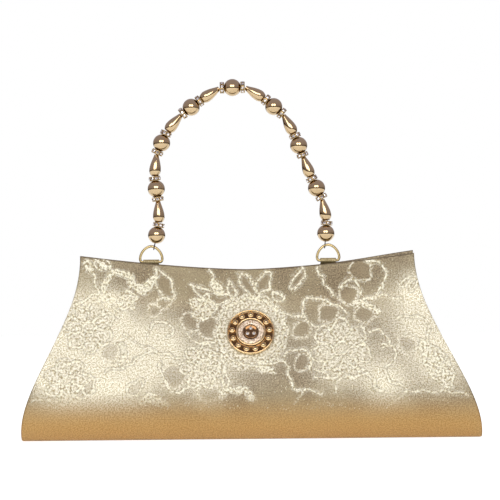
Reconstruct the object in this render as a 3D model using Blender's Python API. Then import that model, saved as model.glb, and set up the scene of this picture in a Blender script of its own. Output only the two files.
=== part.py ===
"""A brocade clutch bag with a beaded handle: two stiff covers on a flat base, folded cloth end gussets,
a magnetic snap, an ornament on the front, and a bead handle looped on two D-rings.
Metres, +Z up. The origin is the middle of the base's underside, the front faces -Y."""

import math

import bmesh
import bpy
from mathutils import Matrix, Vector

MM = 0.001
CLEAR = 0.3 * MM  # between pieces that touch
EDGE_BEVEL = 0.3 * MM

# The bag's outline, seen from the front
BASE_WIDTH = 318 * MM
TOP_WIDTH = 233 * MM
HEIGHT = 127.5 * MM
TOP_SHIFT = -2.1 * MM  # the mouth sits a little left of the base
SAG = 10.3 * MM  # dip of the top edge at its middle
FLARE = 0.95  # below 1, the sides draw in sooner
BACK_RISE = 2.0 * MM  # the back cover stands this much higher at its right end

# The bag's profile, seen from the side
BASE_DEPTH = 36 * MM
BELLY_DEPTH = 66 * MM
BELLY_HEIGHT = 30 * MM
MOUTH_DEPTH = 12 * MM
LIP = 20 * MM  # upright stretch of each cover below its top edge
LEAN_EASE = 0.2  # share of the leaning stretch over which it bends into the belly, and into the lip

# Boards, cloth and lining
COVER_THICK = 2.4 * MM
BASE_THICK = 2.4 * MM
LINING_THICK = 0.6 * MM
LINING_TOP_INSET = 3.0 * MM
LINING_SIDE_INSET = 1.5 * MM
LINING_FOOT_GAP = 1.2 * MM  # between a cover lining's lower edge and the base's lining
COVER_COLUMNS = 16
STRETCH_ROWS = (5, 2, 3, 3, 2)  # rows of faces in the foot, the belly's bend, the straight, the lip's bend, the lip

# End gussets, folded inwards
GUSSET_THICK = 0.8 * MM
GUSSET_FOLD_TOP = 22 * MM
GUSSET_FOLD_FOOT = 12 * MM
GUSSET_SIDE_INSET = 1.5 * MM
GUSSET_TOP_INSET = 8 * MM
GUSSET_ROOM = 0.7 * MM  # between its leaves and the linings, whose faces are flat facets
GUSSET_ROWS = 8

# Magnetic snap
SNAP_RADIUS = 7.0 * MM
SNAP_BELOW_TOP = 9.0 * MM
SNAP_GAP = 0.4 * MM  # between the faces of its two halves
SOCKET_SHARE = 7 / 11  # of the thickness that both halves have together
SOCKET_FLOOR = 0.8 * MM  # left below the socket's hole
NUB_RADIUS = 2.0 * MM
NUB_PLAY = 0.6 * MM
NUB_END_PLAY = 0.3 * MM

# Rivet posts and the washers that they pass
POST_RADIUS = 1.5 * MM
SNAP_WASHER_RADIUS = 6.0 * MM
WASHER_THICK = 0.8 * MM
POST_SET_BACK = 0.1 * MM  # of a post's end from its washer's outer face

# Ornament on the front cover
MEDALLION_RADIUS = 16.5 * MM
MEDALLION_BELOW_TOP = 44.2 * MM  # its middle, below the dipped edge
SEAT_RINGS = 3  # circles of points, and points in each, at which the cover under it is measured
SEAT_SPOTS = 24
PLATE_THICK = 1.2 * MM
RIM_WIDTH = 1.0 * MM
RIM_RISE = 1.4 * MM
INNER_RING_RADIUS = 10.4 * MM
INNER_RING_WIDTH = 1.1 * MM
INNER_RING_RISE = 1.8 * MM
DOME_COUNT = 13
DOME_PLAY = 0.25 * MM  # between a dome and each wall of the channel
DOME_FLATNESS = 0.8
DOME_ROOT = 0.4 * MM  # depth of a dome's foot below its middle
DISC_THICK = 1.2 * MM
BOSS_RADIUS = 5.2 * MM
BOSS_THICK = 1.5 * MM
BOSS_DISH = 0.4 * MM
DISH_SHARES = (0.6, 0)  # of the boss's radius, at the corners of its dished face
STONE_COUNT = 3
STONE_RADIUS = 1.15 * MM
STONE_HEIGHT = 1.2 * MM
STONE_GIRDLE = 0.6  # of its height
STONE_TABLE = 0.6  # of its radius
STONE_CIRCLE = 2.6 * MM
CUP_DEPTH = 0.9 * MM
MEDALLION_WASHER_RADIUS = 7.0 * MM

# D-rings and their tabs
RING_LEFT_X = -69.2 * MM
BAR_ABOVE_EDGE = 1.1 * MM  # height of a ring's bar above the front cover's edge at the left ring
RING_WIRE_RADIUS = 0.9 * MM
RING_HALF_WIDTH = 7.75 * MM
RING_SHOULDER = 2.2 * MM  # height of the widest place above the bar
RING_CORNER = 1.6 * MM
RING_RISE = 11.0 * MM
RING_SHAPE = 1.8  # 2 is an ellipse, less is more pointed
TAB_SIDE_PLAY = 0.55 * MM  # between a strap's edge and the bend of the ring
TAB_THICK = 0.6 * MM
TAB_LENGTH = 16 * MM
TAB_NECK = 1.0 * MM  # from the loop round the bar down to where the two ends lie flat

# Beads of the handle
BALL_RADIUS = 6.0 * MM
TAPER_LENGTH = 15.0 * MM
TAPER_NARROW = 1.5 * MM
TAPER_FAT = 4.05 * MM
TAPER_FAT_END = 2.1 * MM
TAPER_FAT_PLACE = 0.75  # of its length, from the narrow end
RONDELLE_RADIUS = 4.1 * MM
RONDELLE_RIM = 3.0 * MM
RONDELLE_WEB = 2.0 * MM
RECESS_PLAY = 0.9 * MM  # between its recess and the end of a tapered bead
BORE_RADIUS = 0.9 * MM

# Wire of the handle
WIRE_RADIUS = 0.35 * MM
LOOP_PLAY = 0.6 * MM  # between a loop and the ring's wire
LOOP_OFFSET = 2.2 * MM  # from the middle of each D-ring, towards the other
LOOP_SWEEP = 260  # degrees
STRAND_PLAY = 0.2 * MM  # of each of the two strands in an end ball, from its axis
TAIL_LENGTH = 4.0 * MM
WIRE_CENTRED = 1.8 * MM  # before the far side of an end ball

# Directions along the handle, from its left end to its right, in degrees above +X
BALL_HEADINGS = (78, 98, 65, 36, 1, -41, -69, -63, -95)
TAPER_HEADINGS = (92, 84, 49, 32, -31, -61, -70, -79)

# Facets of round pieces
ROUND_STEPS = 16
MEDALLION_STEPS = 24
STONE_STEPS = 8
BEAD_STEPS = 14
BALL_ARC_STEPS = 8
RONDELLE_STEPS = 12
ARCH_STEPS = 9
CORNER_STEPS = 3
LOOP_STEPS = 10


def clear_scene():
    for obj in list(bpy.data.objects):
        bpy.data.objects.remove(obj, do_unlink=True)


def material(name, colour, roughness, metallic=0.0):
    made = bpy.data.materials.new(name)
    made.use_nodes = True
    shader = made.node_tree.nodes["Principled BSDF"]
    shader.inputs["Base Color"].default_value = (*colour, 1.0)
    shader.inputs["Roughness"].default_value = roughness
    shader.inputs["Metallic"].default_value = metallic
    made.diffuse_color = (*colour, 1.0)
    return made


def add_object(name, mesh, finish, parent=None, place=None):
    """A new object at the place, a matrix, which then keeps that place under its parent."""
    obj = bpy.data.objects.new(name, mesh)
    bpy.context.scene.collection.objects.link(obj)
    if finish:
        mesh.materials.clear()
        mesh.materials.append(finish)
    obj.matrix_world = place or Matrix.Identity(4)
    if parent:
        obj.parent = parent
        obj.matrix_parent_inverse = parent.matrix_world.inverted()
    return obj


def add_pivot(name, place, parent=None):
    """An empty on a joint's axis."""
    pivot = bpy.data.objects.new(name, None)
    bpy.context.scene.collection.objects.link(pivot)
    pivot.empty_display_size = 10 * MM
    pivot.location = place
    bpy.context.view_layer.update()
    if parent:
        pivot.parent = parent
        pivot.matrix_parent_inverse = parent.matrix_world.inverted()
        bpy.context.view_layer.update()
    return pivot


def finished_mesh(name, shape, smooth_degrees=30):
    """The bmesh as a mesh, its normals outwards and its round faces smooth."""
    bmesh.ops.remove_doubles(shape, verts=shape.verts, dist=1e-7)
    bmesh.ops.recalc_face_normals(shape, faces=shape.faces)
    mesh = bpy.data.meshes.new(name)
    shape.to_mesh(mesh)
    shape.free()
    mesh.shade_smooth()
    mesh.set_sharp_from_angle(angle=math.radians(smooth_degrees))
    return mesh


def turned_mesh(name, profile, steps):
    """The closed profile, a list of (radius, height), turned about local Z."""
    shape = bmesh.new()
    corners = [shape.verts.new((radius, 0, height)) for radius, height in profile]
    edges = [shape.edges.new((a, b)) for a, b in zip(corners, corners[1:] + corners[:1]) if a.co.x or b.co.x]
    bmesh.ops.spin(
        shape,
        geom=corners + edges,
        cent=(0, 0, 0),
        axis=(0, 0, 1),
        angle=math.tau,
        steps=steps,
        use_merge=True,
    )
    return finished_mesh(name, shape)


def cutter(name, mesh, place):
    """A hidden helper for a Boolean."""
    obj = add_object(name, mesh, None, place=place)
    obj.hide_render = True
    obj.display_type = "WIRE"
    return obj


def cylinder_cutter(name, radius, low, high, place):
    profile = [(0, low), (radius, low), (radius, high), (0, high)]
    return cutter(name, turned_mesh(name, profile, ROUND_STEPS), place)


def add_boolean(obj, tool, operation="DIFFERENCE"):
    modifier = obj.modifiers.new(tool.name, "BOOLEAN")
    modifier.operation = operation
    modifier.object = tool


def tube(name, points, radius, finish, closed=False, parent=None):
    """A round wire along the points."""
    curve = bpy.data.curves.new(name, "CURVE")
    curve.dimensions = "3D"
    curve.bevel_depth = radius
    curve.bevel_resolution = 2
    curve.use_fill_caps = not closed
    line = curve.splines.new("POLY")
    line.points.add(len(points) - 1)
    for place, point in zip(line.points, points):
        place.co = (*point, 1)
    line.use_cyclic_u = closed
    return add_object(name, curve, finish, parent)


def smooth_step(t):
    t = min(max(t, 0.0), 1.0)
    return t * t * (3 - 2 * t)


def eased_step(t, ease):
    """From 0 to 1 along a straight line that is rounded off over a share of its length at both ends."""
    if t > 0.5:
        return 1 - eased_step(1 - t, ease)
    t = max(t, 0.0)
    return t * t / (2 * ease * (1 - ease)) if t < ease else (t - ease / 2) / (1 - ease)


def top_width_share(x):
    """How far across the mouth a place lies, from -1 at its left end to 1."""
    return (x - TOP_SHIFT) / (TOP_WIDTH / 2)


def half_width(level):
    """Half the covers' width at a level, 0 at the base to 1 at the top corners."""
    return (BASE_WIDTH - (BASE_WIDTH - TOP_WIDTH) * smooth_step(level**FLARE)) / 2


def half_depth(height):
    """Half the bag's depth at a height, measured where the covers are full height."""
    if height < BELLY_HEIGHT:
        bulge = (BELLY_DEPTH - BASE_DEPTH) / 2
        radius = (bulge**2 + BELLY_HEIGHT**2) / (2 * bulge)
        return BELLY_DEPTH / 2 - radius + math.sqrt(radius**2 - (BELLY_HEIGHT - height) ** 2)
    climb = (height - BELLY_HEIGHT) / (HEIGHT - LIP - BELLY_HEIGHT)
    return MOUTH_DEPTH / 2 + (BELLY_DEPTH - MOUTH_DEPTH) / 2 * (1 - eased_step(climb, LEAN_EASE))


def top_height(side, across):
    """Height of a cover's top edge; side is -1 at the front, across runs from -1 at the left to 1."""
    rise = BACK_RISE * smooth_step((across - 0.4) / 0.6) if side > 0 else 0.0
    return HEIGHT + rise - SAG * (1 - abs(across) ** 1.5)


def upper_scale(side, across):
    """How much the stretch above the belly is shortened by the dip of the top edge."""
    return (top_height(side, across) - BELLY_HEIGHT) / (HEIGHT - BELLY_HEIGHT)


def cover_skin(side, across, level):
    """A point of a cover's outer face."""
    height = level * HEIGHT
    x = TOP_SHIFT * level + across * half_width(max(level, 0.0))
    y = side * half_depth(height)
    z = height
    if height > BELLY_HEIGHT:
        z = BELLY_HEIGHT + (height - BELLY_HEIGHT) * upper_scale(side, across)
    return Vector((x, y, z))


def cover_normal(side, across, level):
    """The outward normal of a cover's outer face."""
    step = 1e-3
    level = min(max(level, step), 1 - step)
    along = cover_skin(side, across + step, level) - cover_skin(side, across - step, level)
    up = cover_skin(side, across, level + step) - cover_skin(side, across, level - step)
    normal = along.cross(up).normalized()
    return normal if normal.y * side > 0 else -normal


def cover_level(side, across, z):
    """The level of the place on a cover that lies at height z."""
    if z < BELLY_HEIGHT:
        return z / HEIGHT
    return (BELLY_HEIGHT + (z - BELLY_HEIGHT) / upper_scale(side, across)) / HEIGHT


def row_heights():
    """The heights of a cover's rows of corners, with one at each change of its profile."""
    bend = (HEIGHT - LIP - BELLY_HEIGHT) * LEAN_EASE
    marks = (0, BELLY_HEIGHT, BELLY_HEIGHT + bend, HEIGHT - LIP - bend, HEIGHT - LIP, HEIGHT)
    heights = [0.0]
    for low, high, count in zip(marks, marks[1:], STRETCH_ROWS):
        heights += [low + (high - low) * step / count for step in range(1, count + 1)]
    return heights


def sheet_mesh(name, side, outer, inner, foot=0.0, side_inset=0.0, top_inset=0.0):
    """A sheet that follows a cover, between two depths below its outer face.
    It starts as a slab of unit size whose X is across, Y is up and Z is depth."""
    heights = row_heights()
    rows = len(heights) - 1
    shape = bmesh.new()
    bmesh.ops.create_grid(shape, x_segments=COVER_COLUMNS, y_segments=rows, size=1)
    lower = list(shape.verts)
    extruded = bmesh.ops.extrude_face_region(shape, geom=shape.faces[:], use_keep_orig=True)
    upper = [v for v in extruded["geom"] if isinstance(v, bmesh.types.BMVert)]
    for corners, depth in ((lower, outer), (upper, inner)):
        for corner in corners:
            height = heights[round((corner.co.y + 1) / 2 * rows)]
            level = min(max(height, foot), HEIGHT - top_inset) / HEIGHT
            across = corner.co.x * (1 - side_inset / half_width(level))
            corner.co = cover_skin(side, across, level) - depth * cover_normal(side, across, level)
    return finished_mesh(name, shape, 40)


def inner_half_depth(z, depth):
    """Half the free depth between two sheets that lie this deep below the covers' outer faces, at the corners."""
    level = cover_level(-1, 1.0, z)
    return half_depth(z) - depth / abs(cover_normal(-1, 1.0, level).y)


def box_mesh(name, width, depth, low, high):
    shape = bmesh.new()
    bmesh.ops.create_cube(shape, size=1)
    bmesh.ops.scale(shape, vec=(width, depth, high - low), verts=shape.verts)
    bmesh.ops.translate(shape, vec=(0, 0, (low + high) / 2), verts=shape.verts)
    return finished_mesh(name, shape)


def gusset_mesh(name, side):
    """A folded end wall: at each height its section is a V whose crease points into the bag."""
    shape = bmesh.new()
    foot = BASE_THICK + LINING_THICK + 2 * CLEAR
    top = HEIGHT - GUSSET_TOP_INSET
    deep = COVER_THICK + CLEAR + LINING_THICK + GUSSET_ROOM
    sections = []
    for row in range(GUSSET_ROWS + 1):
        share = row / GUSSET_ROWS
        z = foot + (top - foot) * share
        level = z / HEIGHT
        edge_x = TOP_SHIFT * level + side * (half_width(level) - GUSSET_SIDE_INSET)
        fold_x = edge_x - side * (GUSSET_FOLD_FOOT + (GUSSET_FOLD_TOP - GUSSET_FOLD_FOOT) * share)
        edge_y = inner_half_depth(z, deep)
        outline = (
            (edge_x, -edge_y),
            (edge_x, -(edge_y - GUSSET_THICK)),
            (fold_x + side * GUSSET_THICK, 0),
            (edge_x, edge_y - GUSSET_THICK),
            (edge_x, edge_y),
            (fold_x, 0),
        )
        sections.append([shape.verts.new((x, y, z)) for x, y in outline])
    for below, above in zip(sections, sections[1:]):
        for i in range(len(below)):
            j = (i + 1) % len(below)
            shape.faces.new((below[i], below[j], above[j], above[i]))
    for section in (sections[0], sections[-1]):
        edge_front, inner_front, crease, inner_back, edge_back, fold = section
        shape.faces.new((edge_front, inner_front, crease, fold))
        shape.faces.new((crease, inner_back, edge_back, fold))
    return finished_mesh(name, shape)


def add_shell(finishes, front):
    """The covers, the base, the linings and the gussets. It returns each side's cover and lining."""
    base_lining_low = BASE_THICK + CLEAR
    base_lining_high = base_lining_low + LINING_THICK
    lining_outer = COVER_THICK + CLEAR
    walls = {}
    for side, name, parent in ((-1, "front", front), (1, "back", None)):
        board = sheet_mesh(name + "_cover", side, 0, COVER_THICK)
        cloth = sheet_mesh(
            name + "_lining",
            side,
            lining_outer,
            lining_outer + LINING_THICK,
            base_lining_high + LINING_FOOT_GAP,
            LINING_SIDE_INSET,
            LINING_TOP_INSET,
        )
        walls[side] = (
            add_object(name + "_cover", board, finishes["brocade"], parent),
            add_object(name + "_lining", cloth, finishes["satin"], parent),
        )
    foot_gap = COVER_THICK * abs(cover_normal(-1, 0, 0).y) + CLEAR
    board = box_mesh("base_board", BASE_WIDTH - 2 * CLEAR, BASE_DEPTH - 2 * foot_gap, 0, BASE_THICK)
    add_object("base_board", board, finishes["brocade"])
    width = BASE_WIDTH - 2 * LINING_SIDE_INSET
    depth = BASE_DEPTH - 2 * (foot_gap + CLEAR)
    cloth = box_mesh("base_lining", width, depth, base_lining_low, base_lining_high)
    add_object("base_lining", cloth, finishes["satin"])
    for side, name in ((-1, "gusset_left"), (1, "gusset_right")):
        add_object(name, gusset_mesh(name, side), finishes["satin"])
    return walls


def facing(place, direction):
    """A placing matrix whose local Z points along the direction."""
    return Matrix.Translation(place) @ direction.to_track_quat("Z", "Y").to_matrix().to_4x4()


def washer_profile(radius, low):
    bore = POST_RADIUS + CLEAR
    return [(bore, low), (radius, low), (radius, low + WASHER_THICK), (bore, low + WASHER_THICK)]


def lining_face():
    """Distance of each lining's inner face from the middle of the bag, in the lip."""
    return MOUTH_DEPTH / 2 - COVER_THICK - CLEAR - LINING_THICK


def snap_half_profile(side, post_end):
    """Half of the snap, with its post: the socket, which has a hole, at the front and the stud at the back."""
    both = 2 * (lining_face() - CLEAR) - SNAP_GAP
    socket = both * SOCKET_SHARE
    hole_depth = socket - SOCKET_FLOOR
    high = CLEAR + (socket if side < 0 else both - socket)
    profile = [
        (0, post_end),
        (POST_RADIUS, post_end),
        (POST_RADIUS, CLEAR),
        (SNAP_RADIUS, CLEAR),
        (SNAP_RADIUS, high - EDGE_BEVEL),
        (SNAP_RADIUS - EDGE_BEVEL, high),
    ]
    if side < 0:
        hole = NUB_RADIUS + NUB_PLAY
        return profile + [(hole, high), (hole, high - hole_depth), (0, high - hole_depth)]
    tip = high + hole_depth - NUB_END_PLAY
    nub = [(NUB_RADIUS, high), (NUB_RADIUS, tip - EDGE_BEVEL), (NUB_RADIUS - EDGE_BEVEL, tip), (0, tip)]
    return profile + nub


def add_snap(finishes, walls, front):
    """The two halves of the magnetic snap. Their local Z runs from the lining's face into the bag."""
    height = HEIGHT - SAG - SNAP_BELOW_TOP
    washer_low = -(LINING_THICK + CLEAR + WASHER_THICK)
    for side, parent, name in ((-1, front, "snap_socket"), (1, None, "snap_stud")):
        place = facing(Vector((TOP_SHIFT, side * lining_face(), height)), Vector((0, -side, 0)))
        profile = snap_half_profile(side, washer_low + POST_SET_BACK)
        add_object(name, turned_mesh(name, profile, ROUND_STEPS), finishes["brass"], parent, place)
        washer = turned_mesh(name + "_washer", washer_profile(SNAP_WASHER_RADIUS, washer_low), ROUND_STEPS)
        add_object(name + "_washer", washer, finishes["steel"], parent, place)
        cover, lining = walls[side]
        recess_low = washer_low - CLEAR
        add_boolean(cover, cylinder_cutter(name + "_recess", SNAP_WASHER_RADIUS + CLEAR, recess_low, 0, place))
        bore = POST_RADIUS + CLEAR
        hole = cylinder_cutter(name + "_hole", bore, -2 * LINING_THICK, LINING_THICK, place)
        add_boolean(lining, hole)


def dome_ring_mesh(inside, outside, height):
    """The domes in the ornament's channel, as one mesh of separate domes."""
    shape = bmesh.new()
    radius = (inside + outside) / 2
    size = (outside - inside) / 2 - DOME_PLAY
    for index in range(DOME_COUNT):
        turn = Matrix.Rotation(math.tau * index / DOME_COUNT, 4, "Z")
        place = turn @ Matrix.Translation((0, radius, height)) @ Matrix.Diagonal((1, 1, DOME_FLATNESS, 1))
        bmesh.ops.create_uvsphere(shape, u_segments=8, v_segments=6, radius=size, matrix=place)
    lowest = height - DOME_ROOT
    for corner in shape.verts:
        corner.co.z = max(corner.co.z, lowest)
    return finished_mesh("dome_ring", shape)


def stone_profile(low):
    """A cut stone: a cone below its girdle, a low crown above."""
    girdle = low + STONE_HEIGHT * STONE_GIRDLE
    high = low + STONE_HEIGHT
    return [(0, low), (STONE_RADIUS, girdle), (STONE_RADIUS * STONE_TABLE, high), (0, high)]


def cover_place(x, z):
    """Across and level of the place on the front cover that lies at x and height z."""
    level = cover_level(-1, 0.0, z)
    for _ in range(3):
        across = (x - TOP_SHIFT * level) / half_width(level)
        level = cover_level(-1, across, z)
    return across, level


def medallion_height():
    return HEIGHT - SAG - MEDALLION_BELOW_TOP


def seat_height(place):
    """How far off the cover's tangent plane the ornament's flat back has to lie, to clear the curved cover."""
    into = place.inverted()
    highest = 0.0
    for ring in range(1, SEAT_RINGS + 1):
        for spot in range(SEAT_SPOTS):
            reach = MEDALLION_RADIUS * ring / SEAT_RINGS
            turn = math.tau * spot / SEAT_SPOTS
            across, level = cover_place(reach * math.cos(turn), medallion_height() + reach * math.sin(turn))
            highest = max(highest, (into @ cover_skin(-1, across, level)).z)
    return highest + CLEAR


def plate_profile(bore, back, floor):
    """The ornament's cast plate, with a rim, a channel for the domes, an inner ring and a seat for the disc."""
    ring_inside = INNER_RING_RADIUS - INNER_RING_WIDTH
    return [
        (bore, back),
        (MEDALLION_RADIUS, back),
        (MEDALLION_RADIUS, floor + RIM_RISE - EDGE_BEVEL),
        (MEDALLION_RADIUS - RIM_WIDTH / 2, floor + RIM_RISE),
        (MEDALLION_RADIUS - RIM_WIDTH, floor),
        (INNER_RING_RADIUS, floor),
        (INNER_RING_RADIUS, floor + INNER_RING_RISE - EDGE_BEVEL),
        (INNER_RING_RADIUS - INNER_RING_WIDTH / 2, floor + INNER_RING_RISE),
        (ring_inside, floor + INNER_RING_RISE - EDGE_BEVEL),
        (ring_inside, floor - EDGE_BEVEL),
        (bore, floor - EDGE_BEVEL),
    ]


def boss_profile(post_end, seat):
    """The boss with its post, its face dished."""
    crown = seat + BOSS_THICK
    profile = [
        (0, post_end),
        (POST_RADIUS, post_end),
        (POST_RADIUS, seat),
        (BOSS_RADIUS, seat),
        (BOSS_RADIUS, crown - EDGE_BEVEL),
        (BOSS_RADIUS - EDGE_BEVEL, crown),
    ]
    return profile + [(BOSS_RADIUS * share, crown - BOSS_DISH * (1 - share**2)) for share in DISH_SHARES]


def add_medallion(finishes, cover, front):
    """The ornament, made of a plate, a frosted disc, a polished boss with a post, and three stones.
    Its local Z is the cover's outward normal, with 0 on the cover's outer face."""
    across, level = cover_place(0.0, medallion_height())
    place = facing(cover_skin(-1, across, level), cover_normal(-1, across, level))
    bore = POST_RADIUS + CLEAR
    back = seat_height(place)
    floor = back + PLATE_THICK
    plate_mesh = turned_mesh("medallion_rim", plate_profile(bore, back, floor), MEDALLION_STEPS)
    plate = add_object("medallion_rim", plate_mesh, finishes["gold"], front, place)
    domes = dome_ring_mesh(INNER_RING_RADIUS, MEDALLION_RADIUS - RIM_WIDTH, floor - EDGE_BEVEL)
    add_boolean(plate, cutter("dome_ring", domes, place), "UNION")

    seat = floor - EDGE_BEVEL + CLEAR
    inside = BOSS_RADIUS + CLEAR
    outside = INNER_RING_RADIUS - INNER_RING_WIDTH - CLEAR
    disc_profile = [(inside, seat), (outside, seat), (outside, seat + DISC_THICK), (inside, seat + DISC_THICK)]
    disc_mesh = turned_mesh("medallion_disc", disc_profile, MEDALLION_STEPS)
    add_object("medallion_disc", disc_mesh, finishes["frosted"], front, place)

    washer_low = -COVER_THICK
    boss_mesh = turned_mesh("medallion_boss", boss_profile(washer_low + POST_SET_BACK, seat), MEDALLION_STEPS)
    boss = add_object("medallion_boss", boss_mesh, finishes["gold"], front, place)
    crown = seat + BOSS_THICK
    cup_floor = crown - BOSS_DISH - CUP_DEPTH
    for index in range(STONE_COUNT):
        turn = Matrix.Rotation(math.tau * index / STONE_COUNT, 4, "Z")
        spot = place @ turn @ Matrix.Translation((0, STONE_CIRCLE, 0))
        cup_bore = STONE_RADIUS + CLEAR
        add_boolean(boss, cylinder_cutter(f"cup_{index + 1}", cup_bore, cup_floor, crown + BOSS_THICK, spot))
        name = f"medallion_stone_{index + 1}"
        gem = turned_mesh(name, stone_profile(cup_floor + CLEAR), STONE_STEPS)
        add_object(name, gem, finishes["crystal"], front, spot)

    washer = turned_mesh(
        "medallion_washer", washer_profile(MEDALLION_WASHER_RADIUS, washer_low), ROUND_STEPS
    )
    add_object("medallion_washer", washer, finishes["steel"], front, place)
    recess = cylinder_cutter(
        "medallion_recess",
        MEDALLION_WASHER_RADIUS + CLEAR,
        washer_low - CLEAR,
        washer_low + WASHER_THICK + CLEAR,
        place,
    )
    hole = cylinder_cutter("medallion_hole", bore, -2 * COVER_THICK, COVER_THICK, place)
    add_boolean(cover, recess)
    add_boolean(cover, hole)


def bar_height():
    """Height of the D-rings' bars."""
    return top_height(-1, top_width_share(RING_LEFT_X)) + BAR_ABOVE_EDGE


def arch_height(offset):
    """Height above the bar of a D-ring's arch, at an offset from its middle."""
    reach = (abs(offset) / RING_HALF_WIDTH) ** RING_SHAPE
    return RING_SHOULDER + (RING_RISE - RING_SHOULDER) * (1 - reach) ** (1 / RING_SHAPE)


def ring_points():
    """The middle line of a D-ring in its own plane, from the bar's left end round to it again."""
    right = []
    for step in range(CORNER_STEPS + 1):
        turn = math.pi / 2 * step / CORNER_STEPS
        x = RING_HALF_WIDTH - RING_CORNER * (1 - math.sin(turn))
        right.append((x, RING_SHOULDER * (1 - math.cos(turn))))
    for step in range(1, ARCH_STEPS):
        x = RING_HALF_WIDTH * math.cos(math.pi / 2 * step / ARCH_STEPS)
        right.append((x, arch_height(x)))
    left = [(-x, z) for x, z in reversed(right)]
    return right + [(0, RING_RISE)] + left


def tab_side(offset):
    """One face of the strap, as (y, z) from the bar's middle: up one end, round the bar and down the other.
    The offset is 0 on the face towards the bar and TAB_THICK on the other."""
    back = lining_face() - CLEAR - TAB_THICK + offset
    front = lining_face() - CLEAR - TAB_THICK - CLEAR - offset
    around = RING_WIRE_RADIUS + CLEAR + offset
    neck = -(RING_WIRE_RADIUS + CLEAR + TAB_THICK + TAB_NECK)
    arc = []
    for step in range(LOOP_STEPS + 1):
        turn = math.radians((180 - LOOP_SWEEP) / 2 + LOOP_SWEEP * step / LOOP_STEPS)
        arc.append((around * math.cos(turn), around * math.sin(turn)))
    return [(back, -TAB_LENGTH), (back, neck)] + arc + [(front, neck), (front, -TAB_LENGTH)]


def tab_mesh(name):
    """The strap, one strip folded round the ring's bar, extruded along X."""
    width = 2 * (RING_HALF_WIDTH - RING_CORNER - TAB_SIDE_PLAY)
    shape = bmesh.new()
    inner, outer = ([shape.verts.new((-width / 2, y, z)) for y, z in tab_side(t)] for t in (0, TAB_THICK))
    for i in range(len(inner) - 1):
        shape.faces.new((inner[i], inner[i + 1], outer[i + 1], outer[i]))
    extruded = bmesh.ops.extrude_face_region(shape, geom=shape.faces[:], use_keep_orig=True)
    moved = [v for v in extruded["geom"] if isinstance(v, bmesh.types.BMVert)]
    bmesh.ops.translate(shape, vec=(width, 0, 0), verts=moved)
    return finished_mesh(name, shape)


def add_rings(finishes, right_x):
    """The D-rings on their pivots, and the straps that hold them."""
    pivots = []
    for name, x in (("left", RING_LEFT_X), ("right", right_x)):
        bar = Vector((x, 0, bar_height()))
        pivot = add_pivot(f"ring_{name}_pivot", bar)
        points = [bar + Vector((px, 0, pz)) for px, pz in ring_points()]
        tube(f"d_ring_{name}", points, RING_WIRE_RADIUS, finishes["gold"], True, pivot)
        add_object(f"tab_{name}", tab_mesh(f"tab_{name}"), finishes["strap"], place=Matrix.Translation(bar))
        pivots.append(pivot)
    return pivots


def heading(degrees):
    return Vector((math.cos(math.radians(degrees)), 0, math.sin(math.radians(degrees))))


def bend_gap(first, second, radius):
    """Room between a rondelle's web and a bead's end, so that the end clears it when the two are turned."""
    return CLEAR + radius * abs(math.sin(math.radians(first - second)))


def loop_radius():
    """Radius of the wire's middle line in a loop."""
    return RING_WIRE_RADIUS + LOOP_PLAY + WIRE_RADIUS


def end_ball_reach():
    """From a loop's middle to the middle of its end ball."""
    return loop_radius() + WIRE_RADIUS + CLEAR + BALL_RADIUS


def handle_walk(tilt):
    """The beads in order along the wire, each as (kind, middle, degrees), and the wire's corners.
    The walk starts at the left loop's middle, which is the origin, with all headings turned by the tilt."""
    ball_half = math.sqrt(BALL_RADIUS**2 - BORE_RADIUS**2)
    balls = [degrees + tilt for degrees in BALL_HEADINGS]
    tapers = [degrees + tilt for degrees in TAPER_HEADINGS]
    rising = len(tapers) // 2
    beads = []
    corners = []
    here = Vector((0, 0, 0))
    for index, degrees in enumerate(balls):
        if index == 0:
            here = here + end_ball_reach() * heading(degrees)
        else:
            bead = tapers[index - 1]
            climbing = index - 1 < rising
            ends = (TAPER_FAT_END, TAPER_NARROW) if climbing else (TAPER_NARROW, TAPER_FAT_END)
            gap = bend_gap(balls[index - 1], bead, ends[0])
            here = here + gap / 2 * heading(balls[index - 1])
            corners.append(here)
            here = here + (gap / 2 + TAPER_LENGTH / 2) * heading(bead)
            beads.append(("tapered_bead", here, bead if climbing else bead + 180))
            gap = bend_gap(degrees, bead, ends[1])
            here = here + (gap / 2 + TAPER_LENGTH / 2) * heading(bead)
            corners.append(here)
            here = here + (gap / 2 + RONDELLE_WEB / 2) * heading(degrees)
            beads.append(("rondelle", here, degrees))
            here = here + (RONDELLE_WEB / 2 + CLEAR + ball_half) * heading(degrees)
        beads.append(("ball_bead", here, degrees))
        if index < len(balls) - 1:
            here = here + (ball_half + CLEAR + RONDELLE_WEB / 2) * heading(degrees)
            beads.append(("rondelle", here, degrees))
            here = here + RONDELLE_WEB / 2 * heading(degrees)
    return beads, corners, here + end_ball_reach() * heading(balls[-1])


def level_walk():
    """The walk, turned until its two loops lie level."""
    tilt = 0.0
    for _ in range(4):
        end = handle_walk(tilt)[2]
        tilt -= math.degrees(math.atan2(end.z, end.x))
    return tilt, *handle_walk(tilt)


def ball_mesh(name, bore):
    start = math.asin(bore / BALL_RADIUS)
    profile = []
    for step in range(BALL_ARC_STEPS + 1):
        turn = start + (math.pi - 2 * start) * step / BALL_ARC_STEPS
        profile.append((BALL_RADIUS * math.sin(turn), BALL_RADIUS * math.cos(turn)))
    return turned_mesh(name, profile, ROUND_STEPS)


def taper_radius(share):
    """Radius of a tapered bead at a share of its length from the narrow end."""
    if share < TAPER_FAT_PLACE:
        swell = math.sin(math.pi / 2 * share / TAPER_FAT_PLACE) ** 1.2
        return TAPER_NARROW + (TAPER_FAT - TAPER_NARROW) * swell
    fall = (share - TAPER_FAT_PLACE) / (1 - TAPER_FAT_PLACE)
    return TAPER_FAT_END + (TAPER_FAT - TAPER_FAT_END) * (1 - fall**1.5) ** (1 / 1.5)


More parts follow.
